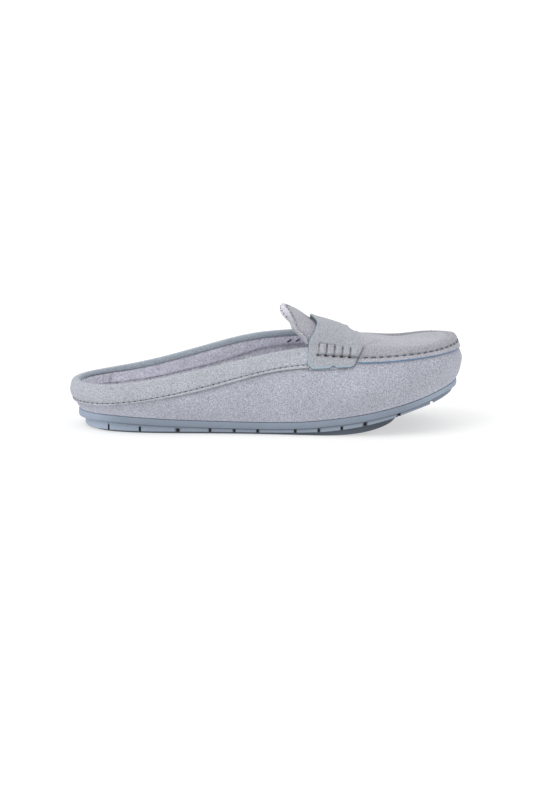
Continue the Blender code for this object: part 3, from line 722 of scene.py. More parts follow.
# The apron's soft creases: start and end give a share of the length and a place on the section
APRON_CREASES = table(
    "side start end wide deep",
    (LATERAL, (0.915, 0.470), (0.935, 0.560), 0.010, 0.0005),
    (LATERAL, (0.955, 0.475), (0.965, 0.540), 0.008, 0.0003),
    (LATERAL, (0.760, 0.600), (0.800, 0.780), 0.030, 0.0004),
    (LATERAL, (0.742, 0.520), (0.765, 0.640), 0.018, 0.0004),
    (MEDIAL, (0.748, 0.600), (0.790, 0.860), 0.030, 0.0004),
    (MEDIAL, (0.930, 0.470), (0.945, 0.560), 0.010, 0.0005),
)


def lapped(turn):
    """1 where the apron laps over the side, 0 behind that."""
    return ramp(turn, *LAP_STARTS)


def lap_edge(turn):
    """The place of the apron's cut edge on the section, which rises toward the toe."""
    return EDGE.along + LAP_RISE * ramp(turn, LAP_STARTS[0], 1.0)


def apron_seam(turn):
    return SEAM_ALONG + SEAM_RISE * ramp(turn, LAP_STARTS[0], 1.0)


def apron_relief(turn, side, along):
    """Lift and tone of the apron: its lapped skirt, stitched groove, ridge and sunk top, with painted shade
    in the groove, on the ridge's faces, at the rear and in the creases.
    """
    along = np.asarray(along, dtype=float)
    share = share_of(turn)
    here = skin_row(turn, side, along)
    gap = np.linalg.norm(crest_ring()[None, :, :] - here[:, None, :2], axis=2).min(axis=1)
    toe = ramp(turn, *TOE_FACE)
    near = 1 - toe if side == LATERAL else 0.0
    on_top = along > CREST.along
    inside = np.where(on_top, smooth(gap, 0.0, PLUG_SLOPE * (1 + 0.6 * near)), 0.0)
    seam = apron_seam(turn)
    groove = bell(along, seam, SEAM_WIDE)
    lift = LAP * (1 - inside) - PLUG_SINK * inside
    lift = lift - SEAM_GROOVE * groove + RIDGE * (1 - 0.6 * near) * bell(along, CREST.along, RIDGE_WIDE)
    lift = lift + TOE_PLUMP * toe * bell(along, PLUMP_AT, PLUMP_WIDE)
    pull = np.sin(share * PULL_WAVES) * PULL * bell(along, seam + PULL_UP, PULL_UP)
    # Painted shade on the ridge's outer face above the seam and its inner face round the sunk top, darker at
    # the apron's rear
    outer_face = smooth(along, seam, seam + 0.012) * (1 - smooth(along, seam + 0.013, 0.62))
    ringed = ramp(turn, *SHADED_FROM)
    ringed *= 1 - 0.65 * toe if side == MEDIAL else 0.35 * ramp(turn, *SHADED_INNER)
    inner_band = smooth(gap, *SHADE_STARTS) * (1 - smooth(gap, *SHADE_ENDS))
    inner_face = ringed * np.where(on_top, inner_band, 0.0)
    rear_shade = 1 - REAR_TONE * (1 - ramp(turn, *REAR_SHADE))
    tone = rear_shade * (1 - SEAM_TONE * groove) * (1 - OUTER_TONE * outer_face)
    tone = tone * (1 - INNER_TONE * inner_face)
    for crease in APRON_CREASES:
        part = (share - crease.start[0]) / (crease.end[0] - crease.start[0])
        if side != crease.side or not -0.2 < part < 1.2:
            continue
        middle = crease.start[1] + (crease.end[1] - crease.start[1]) * part
        fade = float(smooth(part, -0.2, 0.15) * (1 - smooth(part, 0.85, 1.2)))
        trough = fade * bell(along, middle, crease.wide)
        bank = bell(along, middle + crease.wide * 2, crease.wide)
        lift = lift - crease.deep * trough + 0.4 * crease.deep * fade * bank
        tone = tone * (1 - CREASE_TONE * trough)
    shown = lapped(turn)
    return shown * (lift + pull), 1 - shown * (1 - tone)


def rim_wall(turn):
    """Wall thickness at the edge: padded round the heel, plain under the strap."""
    return RIM_WALL + (WALL - RIM_WALL) * ramp(turn, STRAP_NEAR_AT, THROAT_AT)


def wall(turn, along):
    along = np.asarray(along, dtype=float)
    if share_of(turn) > THROAT_AT:
        return np.full(along.shape, WALL)
    return WALL + (rim_wall(turn) - WALL) * smooth(along, SHOULDER.along, EDGE.along)


@lru_cache(maxsize=None)
def cap_frame(turn, side):
    """Middle, outward and upward directions and radius of the collar's round top."""
    outer, below = skin_row(turn, side, [EDGE.along, EDGE.along - 0.02])
    inner = skin(turn, side, EDGE.along, -wall(turn, EDGE.along))
    across = outer - inner
    thickness = np.linalg.norm(across)
    across /= thickness
    up = outer - below
    up -= across * up.dot(across)
    up /= np.linalg.norm(up)
    return (outer + inner) / 2, across, up, thickness / 2


def cap_row(turn, side, angles, extra=0.0):
    """Points on the collar's round top, from its outside (0) to its inside (pi)."""
    middle, across, up, radius = cap_frame(turn, side)
    angles = np.asarray(angles)[:, None]
    reach = radius + np.reshape(extra, (-1, 1))
    return middle + reach * (np.cos(angles) * across + np.sin(angles) * up)


@lru_cache(maxsize=None)
def along_at_height(turn, side, height):
    """The place on the section's side that lies at a height above the floor."""
    places = np.linspace(TURN.along, CREST.along, 60)
    return float(np.interp(height, skin_row(turn, side, places)[:, 2], places))


def along_below_edge(turn, side, drop):
    return along_at_height(turn, side, skin(turn, side, EDGE.along)[2] - drop)


def over_the_top(rows):
    """(side, places) of each half of an arch from the outer edge over the top to the inner edge."""
    rows = np.asarray(rows)
    return [(LATERAL, rows), (MEDIAL, rows[-2::-1])]


def out_and_back(values):
    """(side, value) along the outer side, then back along the inner one."""
    return [(side, value) for side, half in over_the_top(values) for value in half.tolist()]


def rim_strips(top, under, kinds=(0, 0, 0, 0)):
    """Patches that close a shell at its first and last row, and its first and last column."""
    edges = [(top[0], under[0]), (top[-1], under[-1])]
    edges += [(top[:, 0], under[:, 0]), (top[:, -1], under[:, -1])]
    return [(edge, kind, False) for edge, kind in zip(edges, kinds)]


SUEDE = Finish(
    roughness=0.92, specular=0.12, grain_scale=1450.0, grain=2.5, cloud_scale=60.0, cloud=0.24, bump=0.8,
    depth=0.0004,
)
BLOOM = {"Sheen_Weight": 0.22, "Sheen_Roughness": 0.55, "Sheen_Tint": (0.90, 0.92, 1.0, 1.0)}
# Edge paint on cut suede: a thin matte skin
PAINT = Finish(
    roughness=0.55, specular=0.3, grain_scale=1300.0, grain=0.3, cloud_scale=80.0, cloud=0.20, bump=0.3,
    depth=0.0001,
)


def make_suede(name, colour, nap):
    """Brushed suede: a dense speckle of nap, soft clouds where it lies another way, a faint bloom."""
    return speckled(name, colour, SUEDE._replace(grain=nap), **BLOOM)


suede = make_suede("side suede", (0.380, 0.390, 0.447), nap=2.5)
apron_suede = make_suede("apron suede", (0.385, 0.383, 0.424), nap=2.2)
blue_edge = speckled("blue edge paint", (0.150, 0.255, 0.400), PAINT)

LINING_SEAMS = table(
    "along drop",
    (0.00, 0.120),
    (0.12, 0.142),
    (0.20, 0.163),
    (0.30, 0.178),
    (0.40, 0.186),
    (0.50, 0.138),
    (0.60, 0.125),
)
lining_drop = row_curve(LINING_SEAMS, "drop")
LINING_PUFF = 0.0011
LINING_GROOVE = 0.0009
LINING_GROOVE_WIDE = 0.014
LINING_PLAIN = (0.60, 0.66)
LINING_PALE = (0.44, 0.56)
LOW_PUFF = 0.12
LOW_SHADE_DOWN = 0.026
LOW_SHADE_WIDE = 0.022
HEEL_CREASE_AT = 0.090
HEEL_CREASE = 0.0006
HEEL_CREASE_WIDE = 0.005
# Painted shade in the lining's stitched groove, in a band below it and in the heel crease; painted light
# near the strap, where the inside lies in shade
LINING_SEAM_TONE = 0.33
LINING_LOW_TONE = 0.14
LINING_CREASE_TONE = 0.22
LINING_PALER = 0.16


def lining_seam(turn, side):
    """The place of the lining's row of stitches on the section."""
    share = min(share_of(turn), LINING_SEAMS[-1].along)
    return along_below_edge(turn, side, INSTEP_HEIGHT * lining_drop(share))


def lining_relief(turn, side, along):
    """Lift off the wall and tone of the lining: foam swells it above its row of stitches, with painted shade
    in its groove, below it and in the heel crease, and painted light near the strap.
    """
    seam = lining_seam(turn, side)
    shown = 1 - ramp(turn, *LINING_PLAIN)
    swell = np.sin(np.pi * np.clip((along - seam) / (EDGE.along - seam), 0, 1)) ** 0.7
    low = np.sin(np.pi * np.clip((along - seam + LOW_PUFF) / LOW_PUFF, 0, 1)) ** 2 * (along < seam)
    groove = bell(along, seam, LINING_GROOVE_WIDE)
    crease = float(bell(share_of(turn), HEEL_CREASE_AT, HEEL_CREASE_WIDE)) if side == MEDIAL else 0.0
    lift = LINING_PUFF * (swell + 0.5 * low) - LINING_GROOVE * groove - HEEL_CREASE * crease
    pale = 1 + LINING_PALER * ramp(turn, *LINING_PALE)
    dark = LINING_SEAM_TONE * groove + LINING_LOW_TONE * bell(along, seam - LOW_SHADE_DOWN, LOW_SHADE_WIDE)
    return shown * lift, pale * (1 - shown * dark) * (1 - LINING_CREASE_TONE * crease)


def make_upper():
    count = 260
    throat = round(turn_of(THROAT_AT) * count)
    side_rows = np.concatenate([np.linspace(0, 0.06, 7), np.linspace(0.075, EDGE.along, 30)])
    top_rows = CREST.along + (1 - CREST.along) * np.linspace(0, 1, 37)[1:] ** 1.35
    inner_rows = np.concatenate([np.linspace(0, 0.16, 8), np.linspace(0.18, EDGE.along, 36)])
    outer, inner = [], []
    for turn, side in round_the_shoe(count):
        places = side_rows * lap_edge(turn) / EDGE.along
        # Painted shade under the apron's lapped edge, painted light along the foot against the shadow under
        # the overhang, and paler toward the toe and low on the heel
        dark = 1 - LAP_SHADE * lapped(turn) * bell(places, lap_edge(turn) - LAP_BEVEL, LAP_SHADE_WIDE)
        dark = dark * (1 + TOE_PALER * ramp(turn, 0.90, 1.0))
        heel = 1 - ramp(turn, 0.10, 0.30)
        low = 1 + FOOT_PALER * bell(side_rows, 0.0, 0.03)
        low = low * (1 + HEEL_PALER * heel * (1 - smooth(side_rows, 0.15, 0.30)))
        outer.append(toned(skin_row(turn, side, places), dark * low))
        lift, tone = lining_relief(turn, side, inner_rows)
        inner.append(toned(skin_row(turn, side, inner_rows, -wall(turn, inner_rows) - lift), tone))
    foot = [[o[0], i[0]] for o, i in zip(outer, inner)]
    front = [i / count for i in range(throat, count + 1)]
    apron, under = [], []
    for turn in front:
        top_row, under_row = [], []
        skirt = np.linspace(lap_edge(turn), CREST.along, 25)
        for side, places in over_the_top(np.concatenate([skirt, top_rows])):
            lift, tone = apron_relief(turn, side, places)
            top_row.append(toned(skin_row(turn, side, places, lift), tone))
            under_row.append(skin_row(turn, side, places, -wall(turn, places)))
        apron.append(np.vstack(top_row))
        under.append(np.vstack(under_row))
    patches = [(outer, 0, True), (inner, 2, True), (foot, 0, True), (apron, 1, False), (under, 2, False)]
    patches.append(([apron[0][:, :3], under[0]], 1, False))
    for side in (LATERAL, MEDIAL):
        steps = np.linspace(0, 1, 5)
        cut = []
        for turn in front:
            raised = float(apron_relief(turn, side, [lap_edge(turn)])[0][0])
            bevel = LAP_BEVEL * raised / LAP
            places = lap_edge(turn) - bevel * (1 - steps)
            cut.append(skin_row(turn, side, places, raised * steps ** 0.6 + 0.00003))
        patches.append((cut, 3, False))
        rear = [i / count for i in range(throat + 1)]
        angles = np.linspace(0, math.pi, 7)
        patches.append(([cap_row(t, side, angles[:4]) for t in rear], 0, False))
        patches.append(([cap_row(t, side, angles[3:]) for t in rear], 2, False))
        end = cap_row(throat / count, side, angles)
        patches.append(([end, np.linspace(end[0], end[-1], len(angles))], 0, False))
    materials = [suede, apron_suede, lining_leather, blue_edge]
    build("moccasin_upper", patches, materials, SUEDE_SHARP, "upper")


make_upper()


# Waxed thread
THREAD = Finish(
    roughness=0.5, specular=0.4, grain_scale=2500.0, grain=0.4, cloud_scale=200.0, cloud=0.2, bump=0.3,
    depth=0.0001,
)
dark_thread = speckled("dark thread", (0.034, 0.038, 0.058), THREAD)
seam_thread = speckled("seam thread", (0.085, 0.088, 0.112), THREAD)
THREAD_CORNERS = 6
THREAD_STEPS = 7
THREAD_END = 0.4
LENGTH_VARIES = 0.12
LEAN_VARIES = 0.6


def line_on(places, way=1):
    """Points at (turn, side, along, lift), and directions out of the wall or, with way -1, into the shoe."""
    return [skin(*place) for place in places], [way * facing(*place[:3]) for place in places]


def thread_tube(points, facings, radius):
    """A short length of thread as a patch: a round tube whose ends taper."""
    points = np.asarray(points)
    ahead = np.gradient(points, axis=0)
    ahead /= np.linalg.norm(ahead, axis=1)[:, None]
    across = np.cross(ahead, facings)
    across /= np.linalg.norm(across, axis=1)[:, None]
    up = np.cross(across, ahead)
    taper = np.full(len(points), radius)
    taper[[0, -1]] *= THREAD_END
    angles = np.arange(THREAD_CORNERS + 1) * 2 * math.pi / THREAD_CORNERS
    spread = across[:, None, :] * np.cos(angles)[:, None] + up[:, None, :] * np.sin(angles)[:, None]
    return points[:, None, :] + spread * taper[:, None, None], 0, False


def stitch_row(points, facings, pitch, length, radius, slant=0.0):
    """Patches of a row of stitches along a line, each an arch that dips into the leather."""
    points, facings = np.asarray(points), np.asarray(facings)
    steps = np.linalg.norm(np.diff(points, axis=0), axis=1)
    run = np.concatenate([[0.0], np.cumsum(steps)])
    patches = []
    for k in range(int(run[-1] / pitch)):
        part = np.linspace(-1, 1, THREAD_STEPS)
        at = (k + 0.5) * pitch + part * length / 2 * (1 + LENGTH_VARIES * math.sin(k * 2.39))
        middle = np.stack([np.interp(at, run, points[:, i]) for i in range(3)], axis=1)
        out = np.stack([np.interp(at, run, facings[:, i]) for i in range(3)], axis=1)
        across = np.cross(out[3], middle[-1] - middle[0])
        across /= np.linalg.norm(across)
        arch = radius * (0.75 - 1.9 * part ** 4)
        lean = slant * (1 + LEAN_VARIES * math.sin(k * 4.1)) * part
        middle = middle + out * arch[:, None] + across * lean[:, None]
        patches.append(thread_tube(middle, out, radius))
    return patches


SEAM_PITCH = 0.0050
SEAM_STITCH = 0.0031
SEAM_THREAD = 0.00042
SEAM_SLANT = 0.0002
SEAM_STARTS_AT = 0.741


def make_apron_stitches():
    places = []
    for side, turn in out_and_back(np.linspace(turn_of(SEAM_STARTS_AT), 1, 300)):
        seam = apron_seam(turn)
        places.append((turn, side, seam, float(apron_relief(turn, side, [seam])[0][0])))
    patches = stitch_row(*line_on(places), SEAM_PITCH, SEAM_STITCH, SEAM_THREAD, slant=SEAM_SLANT)
    build("apron_stitches", patches, [seam_thread])


make_apron_stitches()


# Collar band
# A strip of suede folded over the foam collar, from strap to strap round the heel. A row of
# stitches near its lower edge holds the foam in a soft roll.

CAP_END = 3.10
CAP_END_HEEL = 2.60
BAND_TUCK = 0.0010
BAND_DROPS = table(
    "along drop seam",
    (0.00, 0.175, 0.146),
    (0.07, 0.173, 0.145),
    (0.12, 0.165, 0.144),
    (0.33, 0.165, 0.132),
    (0.43, 0.156, 0.125),
    (0.53, 0.150, 0.120),
    (0.60, 0.156, 0.122),
)
band_drop = row_curve(BAND_DROPS, "drop")
band_seam = row_curve(BAND_DROPS, "seam")
# The band runs on under the strap as a thin tail, which fades into the upper in front of it
TAIL = 0.0009
TAIL_TO = 0.700
TAIL_UP = 0.0430
TAIL_RISE = 0.0008
TAIL_FADE = (0.66, TAIL_TO)
TAIL_LIFTS = (0.60, 0.69)
TAIL_WIDE = 0.03
TAIL_ROUND = 0.0004
TAIL_STEPS = np.array([0.0, 0.02, 0.1, 0.5, 1.0])
# The tail's tones: a line of painted shade along its lower edge
TAIL_TONES = (0.4, 0.5, 0.85, 0.9, 0.9)
CAP_GROWS = (0.04, 0.20)
HEM_EDGE = 0.0008
SEAM_SINK = 0.0006
ROLL = 0.0007
CAP_ROLL = 0.0004
CAP_TUCK = 0.0012
collar_suede = make_suede("collar suede", (0.388, 0.404, 0.443), nap=2.3)
# The cap's inner half in a bluer copy of the collar suede: the colour of its painted shade
shaded_rim_suede = make_suede("shaded rim suede", (0.372, 0.422, 0.482), nap=1.8)


def band_places(turn, side):
    """Where the band's lower edge and its row of stitches lie on the section."""
    share = min(share_of(turn), BAND_DROPS[-1].along)
    low = along_below_edge(turn, side, INSTEP_HEIGHT * band_drop(share))
    seam = along_below_edge(turn, side, INSTEP_HEIGHT * band_seam(share))
    return low, seam


def make_band():
    end = turn_of(STRAP_NEAR_AT + BAND_TUCK / LENGTH)
    count = 170
    turns = [end * i / count for i in range(count, -1, -1)]
    hem = np.concatenate([[0.0, 0.04, 0.12], np.linspace(0.25, 0.9, 6), [0.96]])
    roll = np.concatenate([[0.0, 0.03, 0.07], np.linspace(0.12, 1.0, 20)])
    over = np.concatenate([np.linspace(0, 0.9, 15)[1:], [0.93, 0.96, 0.985, 1.0]])
    lift = GAP + BAND
    hem_lift = lift - HEM_EDGE * bell(hem, 0.0, 0.05) - SEAM_SINK * bell(hem, 1.0, 0.16)
    puff = np.sin(np.pi * np.clip(roll / 1.2, 0, 1)) ** 0.7
    roll_lift = lift + ROLL * puff - SEAM_SINK * bell(roll, 0.0, 0.05)
    # Painted shade: a dark line along the band's lower edge and along its stitches, the cap's inner half
    # darker where it turns from the light, a dark line where it tucks in, and a darker underside
    hem_tone = 1.03 - 0.06 * bell(hem, 1.0, 0.15) - 0.52 * bell(hem, 0, 0.15)
    roll_tone = 1 - 0.06 * bell(roll, 0.0, 0.05)
    top, under = [], []
    for side, turn in out_and_back(turns):
        low, seam = band_places(turn, side)
        hem_at = low + (seam - low) * hem
        roll_at = seam + (EDGE.along - seam) * roll
        angles = (CAP_END_HEEL + (CAP_END - CAP_END_HEEL) * ramp(turn, *CAP_GROWS)) * over
        cap_lift = lift + CAP_ROLL * (0.6 + 0.4 * np.cos(angles)) - CAP_TUCK * smooth(over, 0.88, 1.0) ** 1.5
        cap_tone = (1 - 0.26 * smooth(angles, 1.2, 1.9)) * (1 - 0.62 * smooth(over, 0.90, 0.97))
        top.append(np.vstack([
            toned(skin_row(turn, side, hem_at, hem_lift), hem_tone),
            toned(skin_row(turn, side, roll_at, roll_lift), roll_tone),
            toned(cap_row(turn, side, angles, cap_lift), cap_tone),
        ]))
        base = skin_row(turn, side, np.concatenate([hem_at, roll_at]), GAP)
        under.append(np.vstack([base, cap_row(turn, side, angles, GAP)]))
    top, under = np.array(top), toned(under, 0.7)
    rim = len(hem) + len(roll) + len(over) // 3
    patches = [(top[:, :rim + 1], 0, False), (top[:, rim:], 1, False), (under, 0, False)]
    patches += rim_strips(top, under)
    for side in (LATERAL, MEDIAL):
        tail = []
        for turn in np.linspace(end, turn_of(TAIL_TO), 50).tolist():
            low = along_at_height(turn, side, TAIL_UP + TAIL_RISE * ramp(turn, *TAIL_LIFTS))
            heights = (1 - ramp(turn, *TAIL_FADE)) * (TAIL - TAIL_ROUND * bell(TAIL_STEPS, 0.0, 0.05))
            heights[0] = 0.0
            tail.append(toned(skin_row(turn, side, low + TAIL_WIDE * TAIL_STEPS, heights), TAIL_TONES))
        patches.append((tail, 0, False))
    materials = [collar_suede, shaded_rim_suede]
    band = build("folded_collar_band", patches, materials, SUEDE_SHARP, "collar_band")


make_band()

COLLAR_PITCH = 0.0037
COLLAR_STITCH = 0.0009
TACKS_AT = [0.545, 0.565, 0.585]
TACK_DROP = 0.0034
TACK_LEAN = 0.0010
TACK_REACH = 0.0045
TACK_SINK = 0.0002
TACK_THREAD = 0.00055
LINING_SEAM_FROM = 0.19
LINING_STITCH = 0.0016
LINING_THREAD = 0.00015
COLLAR_THREAD = 0.00034


def on_lining(turn, side, along, sink=0.0):
    """A place on the lining's face, as line_on reads it."""
    lift = float(lining_relief(turn, side, np.array([along]))[0][0])
    return turn, side, along, -float(wall(turn, along)) - lift - sink


def make_collar_stitches():
    places = []
    lining = {LATERAL: [], MEDIAL: []}
    for side, turn in out_and_back(np.linspace(turn_of(STRAP_NEAR_AT - 0.004), 0, 300)):
        places.append((turn, side, band_places(turn, side)[1], GAP + BAND - SEAM_SINK))
        if share_of(turn) > LINING_SEAM_FROM:
            lining[side].append(on_lining(turn, side, lining_seam(turn, side)))
    patches = stitch_row(*line_on(places), COLLAR_PITCH, COLLAR_STITCH, COLLAR_THREAD)
    for row in lining.values():
        patches += stitch_row(*line_on(row, -1), COLLAR_PITCH, LINING_STITCH, LINING_THREAD)
    for share in TACKS_AT:
        tack = []
        for step in np.linspace(-1, 1, THREAD_STEPS):
            turn = turn_of(share + TACK_REACH * step)
            along = along_below_edge(turn, MEDIAL, TACK_DROP - TACK_LEAN * step)
            tack.append(on_lining(turn, MEDIAL, along, TACK_SINK))
        patches.append(thread_tube(*line_on(tack, -1), TACK_THREAD))
    build("collar_stitches", patches, [dark_thread])


make_collar_stitches()


# Saddle strap
# A thick suede strap over the instep. Its ends are pinched into five pads by threads that
# pass down through slits, and are cut in two lobes with painted edges.

STRAP = 0.0023
PUCKER = 0.0013
PUCKER_PITCH = 0.0053
PUCKER_COUNT = 5
SCALLOP = 0.0014
NOTCH_AT = 1.42
NOTCH_WIDE = 0.30
CORNER_REAR = 0.0024
CORNER_FRONT = 0.0020
SEAT = 0.0004
STRAP_END_UP = 0.0440
STRAP_END_RISE = 0.00036
PUCKER_FROM = 0.0515
PUCKER_TO = 0.0578
PUCKER_FALL = 0.00065
PUCKER_AT = 0.6370
PUCKER_DROP = 0.00022
HOLE_BACK = 0.0006
STRAP_EDGES = table(
    "along rear front",
    (0.300, 0.599, 0.721),
    (0.362, 0.598, 0.732),
    (0.420, 0.598, 0.741),
    (0.458, 0.600, 0.742),
    (0.514, 0.608, 0.733),
    (0.580, 0.614, 0.727),
    (0.660, 0.620, 0.723),
    (0.760, 0.620, 0.721),
    (0.880, 0.615, 0.719),
    (1.000, 0.612, 0.717),
)
STRAP_FAR_FRONT = 0.733
strap_rear = row_curve(STRAP_EDGES, "rear")
strap_front = row_curve(STRAP_EDGES, "front")
# The row of pads in pitches from the first one's centre, and the depth, width and tone of its details
PAD_REAR = (-0.62, -0.42)
PAD_FRONT = (PUCKER_COUNT - 0.62, PUCKER_COUNT - 0.45)
VALLEY = 0.0005
VALLEY_WIDE = 0.10
LINE_DEEP = 0.0009
HOLE_DEEP = 0.0014
HOLE_WIDE = 0.00085
HOLE_TALL = 0.00065
SLIT_CUT = 0.0006
SLIT_CUT_WIDE = 0.00036
# Painted light and shade on the strap: a darker underside, shadow lines along the rear edge and the cut
# ends, the pads lit in the middle, and shade in their valleys, holes, slits and the lines at their ends
STRAP_TONE = 0.88
UNDER_TONE = 0.28
END_TONE = 0.5
EDGE_SHADOW_TONES = (0.28, 0.36, 0.75)
PAINT_IN = 4
PAINT_UP = 3
FAR_BEDS_IN = (0.690, 0.716)
SEAT_FADES = (0.6, 0.7)
REAR_ROUNDS = (1.0, 1.76)
FRONT_ROUNDS = (3.4, 4.66)
CUT_FADES = (0.6, 2.6)
CUT_WIDE = 0.00035
LINE_BELOW = 0.0002
LINE_WIDE = 0.00055
LINE_TONE = 0.55
HOLE_TONE = 0.97
SLIT_TONE = 0.66
CUT_TONE = 0.42
VALLEY_TONE = 0.20
PAD_TONE = 0.10
strap_suede = make_suede("strap suede", (0.386, 0.398, 0.436), nap=2.0)
pale_edge = speckled("pale edge paint", (0.370, 0.475, 0.560), PAINT)


def pad_ends(from_first):
    """Heights of the pads' lower and upper end, from_first pitches after the first one's centre."""
    return PUCKER_FROM + PUCKER_DROP * (1 - from_first), PUCKER_TO - PUCKER_FALL * from_first


def strap_detail(from_first, height):
    """Lift and tone of the pinched pads: painted light on their middles, painted shade in the valleys,
    holes, slits and the lines at their ends.
    """
    low, high = pad_ends(from_first)
    within = float(smooth(from_first, *PAD_REAR) * (1 - smooth(from_first, *PAD_FRONT)))
    window = float(smooth(height, low, low + 0.0014) * (1 - smooth(height, high - 0.0016, high + 0.0006)))
    off = abs(from_first - round(from_first))
    valley = float(bell(off, 0.5, VALLEY_WIDE))
    lift = PUCKER * within * window * (1 - (2 * off) ** 3) - VALLEY * within * window * valley
    tone = 1 + within * window * (PAD_TONE * (1 - 2 * off) - 0.01)
    tone *= 1 - VALLEY_TONE * within * window * valley
    line = within * float(bell(height, low - LINE_BELOW, LINE_WIDE))
    lift -= LINE_DEEP * line
    tone *= 1 - LINE_TONE * line
    nearest = round(from_first - 0.5) + 0.5
    if -0.6 < nearest < PUCKER_COUNT - 0.6:
        across = (from_first - nearest) * PUCKER_PITCH
        hole = math.exp(-(((across + HOLE_BACK) / HOLE_WIDE) ** 2) - (((height - low) / HOLE_TALL) ** 2))
        tall = 0.0012 - 0.00015 * nearest
        slit = math.exp(-((across / SLIT_CUT_WIDE) ** 2) - (((height - high + tall * 0.8) / tall) ** 2))
        lift -= HOLE_DEEP * hole + SLIT_CUT * slit
        tone *= (1 - HOLE_TONE * hole) * (1 - SLIT_TONE * slit)
    cut = within * float(bell(height, high, CUT_WIDE)) * (1 - float(smooth(from_first, *CUT_FADES)))
    tone *= 1 - CUT_TONE * cut
    return lift, tone


def scallop(from_first):
    """How far the strap's cut end is notched between its two lobes and rounded at its corners."""
    notch = SCALLOP * math.exp(-(((from_first - NOTCH_AT) / NOTCH_WIDE) ** 2))
    rear = CORNER_REAR * float(smooth(-from_first, *REAR_ROUNDS))
    return notch + rear + CORNER_FRONT * float(smooth(from_first, *FRONT_ROUNDS))


def pitches_on(share):
    """How many pitches a place lies forward of the first pad's centre."""
    return (share - PUCKER_AT) * LENGTH / PUCKER_PITCH


def strap_end(share, side):
    from_first = pitches_on(share)
    height = STRAP_END_UP + STRAP_END_RISE * from_first + scallop(from_first)
    return along_at_height(turn_of(share), side, height)


def strap_seat(turn, side, along):
    """The apron's relief under the strap, without its stitched groove."""
    edge = float(smooth(along, EDGE.along - LAP_BEVEL * 2, EDGE.along))
    return LAP * lapped(turn) * edge * (1 - float(smooth(along, *SEAT_FADES)))


def strap_point(share, side, part, thick_share, pads=True):
    """Point on the strap with its tone: part runs from its cut end (0) to the top (1)."""
    turn = turn_of(share)
    end = strap_end(share, side)
    along = end + (1 - end) * part
    bedded = float(smooth(share, *FAR_BEDS_IN)) if side == MEDIAL else 0.0
    seat = strap_seat(turn, side, along) + SEAT * (1 - bedded)
    lift, tone = 0.0, 1.0
    thick_share *= 1 - 0.75 * bedded
    if pads:
        lift, tone = strap_detail(pitches_on(share), skin(turn, side, along)[2])
    return (*skin(turn, side, along, seat + STRAP * thick_share + lift), tone * STRAP_TONE)


def make_strap():
    near = [0.0, 0.006, 0.016, 0.03]
    far = [0.97, 0.984, 0.994, 1.0]
    across = np.concatenate([near, np.linspace(0.05, 0.95, 118), far])
    across_soft = np.interp(across, near + far, [0.5, 0.78, 0.94, 1.0, 1.0, 0.94, 0.78, 0.5])
    down = np.concatenate([near, np.linspace(0.045, 0.32, 52), np.linspace(0.34, 1.0, 26)])
    down_soft = np.interp(down, near, [0.5, 0.8, 0.95, 1.0])
    top, under = [], []
    for side, j in out_and_back(range(len(down))):
        nominal = STRAP_EDGES[0].along + (1 - STRAP_EDGES[0].along) * down[j]
        rear = strap_rear(nominal)
        front = strap_front(nominal) if side == LATERAL else min(strap_front(nominal), STRAP_FAR_FRONT)
        shares = [round(rear + (front - rear) * float(place), 4) for place in across]
        softs = np.minimum(across_soft, down_soft[j])
        top.append([strap_point(share, side, down[j], soft) for share, soft in zip(shares, softs)])
        under.append([strap_point(share, side, down[j], 0.0, pads=False) for share in shares])
    # Painted shade: the underside dark, a shadow line along the rear edge, and the cut ends darkened
    top, under = np.array(top), toned(np.array(under)[..., :3], UNDER_TONE)
    top[:, :len(EDGE_SHADOW_TONES), 3] *= EDGE_SHADOW_TONES
    top[[0, -1], :, 3] *= END_TONE
    inside = slice(PAINT_UP - 1, len(top) - PAINT_UP + 1)
    patches = [(top[inside, PAINT_IN - 1:], 0, False), (under, 0, False)]
    patches += [(top[:PAINT_UP], 1, False), (top[-PAINT_UP:], 1, False), (top[inside, :PAINT_IN], 1, False)]
    patches += rim_strips(top, under, (1, 1, 1, 0))
    build("saddle_strap", patches, [strap_suede, pale_edge], SUEDE_SHARP, "strap")


make_strap()

PAD_THREAD = 0.00030
UPRIGHT_FROM = 0.30
CROSSING_FROM = 0.34
THREADS_TO = 0.66
UPRIGHT_SINK = 0.0004
CROSSING_SINK = 0.0005
UPRIGHT_STOPS = 0.0012
CROSSING_DOWN = 0.0004
pale_thread = speckled("pale thread", (0.560, 0.520, 0.530), THREAD)


def make_strap_threads():
    patches = []
    for side in (LATERAL, MEDIAL):
        for k in range(PUCKER_COUNT):
            from_first = k - 0.5
            turn = turn_of(PUCKER_AT + from_first * PUCKER_PITCH / LENGTH)
            low, high = pad_ends(from_first)
            high -= UPRIGHT_STOPS
            upright, crossing = [], []
            for part in np.linspace(UPRIGHT_FROM, THREADS_TO, THREAD_STEPS):
                along = along_at_height(turn, side, low + (high - low) * part)
                depth = 0.0003 + 0.0008 * abs((part - 0.48) / 0.18) ** 3
                upright.append((turn, side, along, SEAT + STRAP - UPRIGHT_SINK - depth))
            patches.append(thread_tube(*line_on(upright), PAD_THREAD))
            if k == PUCKER_COUNT - 1:
                continue
            for part in np.linspace(CROSSING_FROM, THREADS_TO, THREAD_STEPS):
                step = from_first + part
                turn = turn_of(PUCKER_AT + step * PUCKER_PITCH / LENGTH)
                along = along_at_height(turn, side, pad_ends(step)[0] - CROSSING_DOWN)
                depth = 0.0010 * abs(2 * (part - CROSSING_FROM) / (THREADS_TO - CROSSING_FROM) - 1) ** 3
                crossing.append((turn, side, along, SEAT + STRAP - CROSSING_SINK - depth))
            patches.append(thread_tube(*line_on(crossing), PAD_THREAD))
    build("strap_threads", patches, [pale_thread])


make_strap_threads()


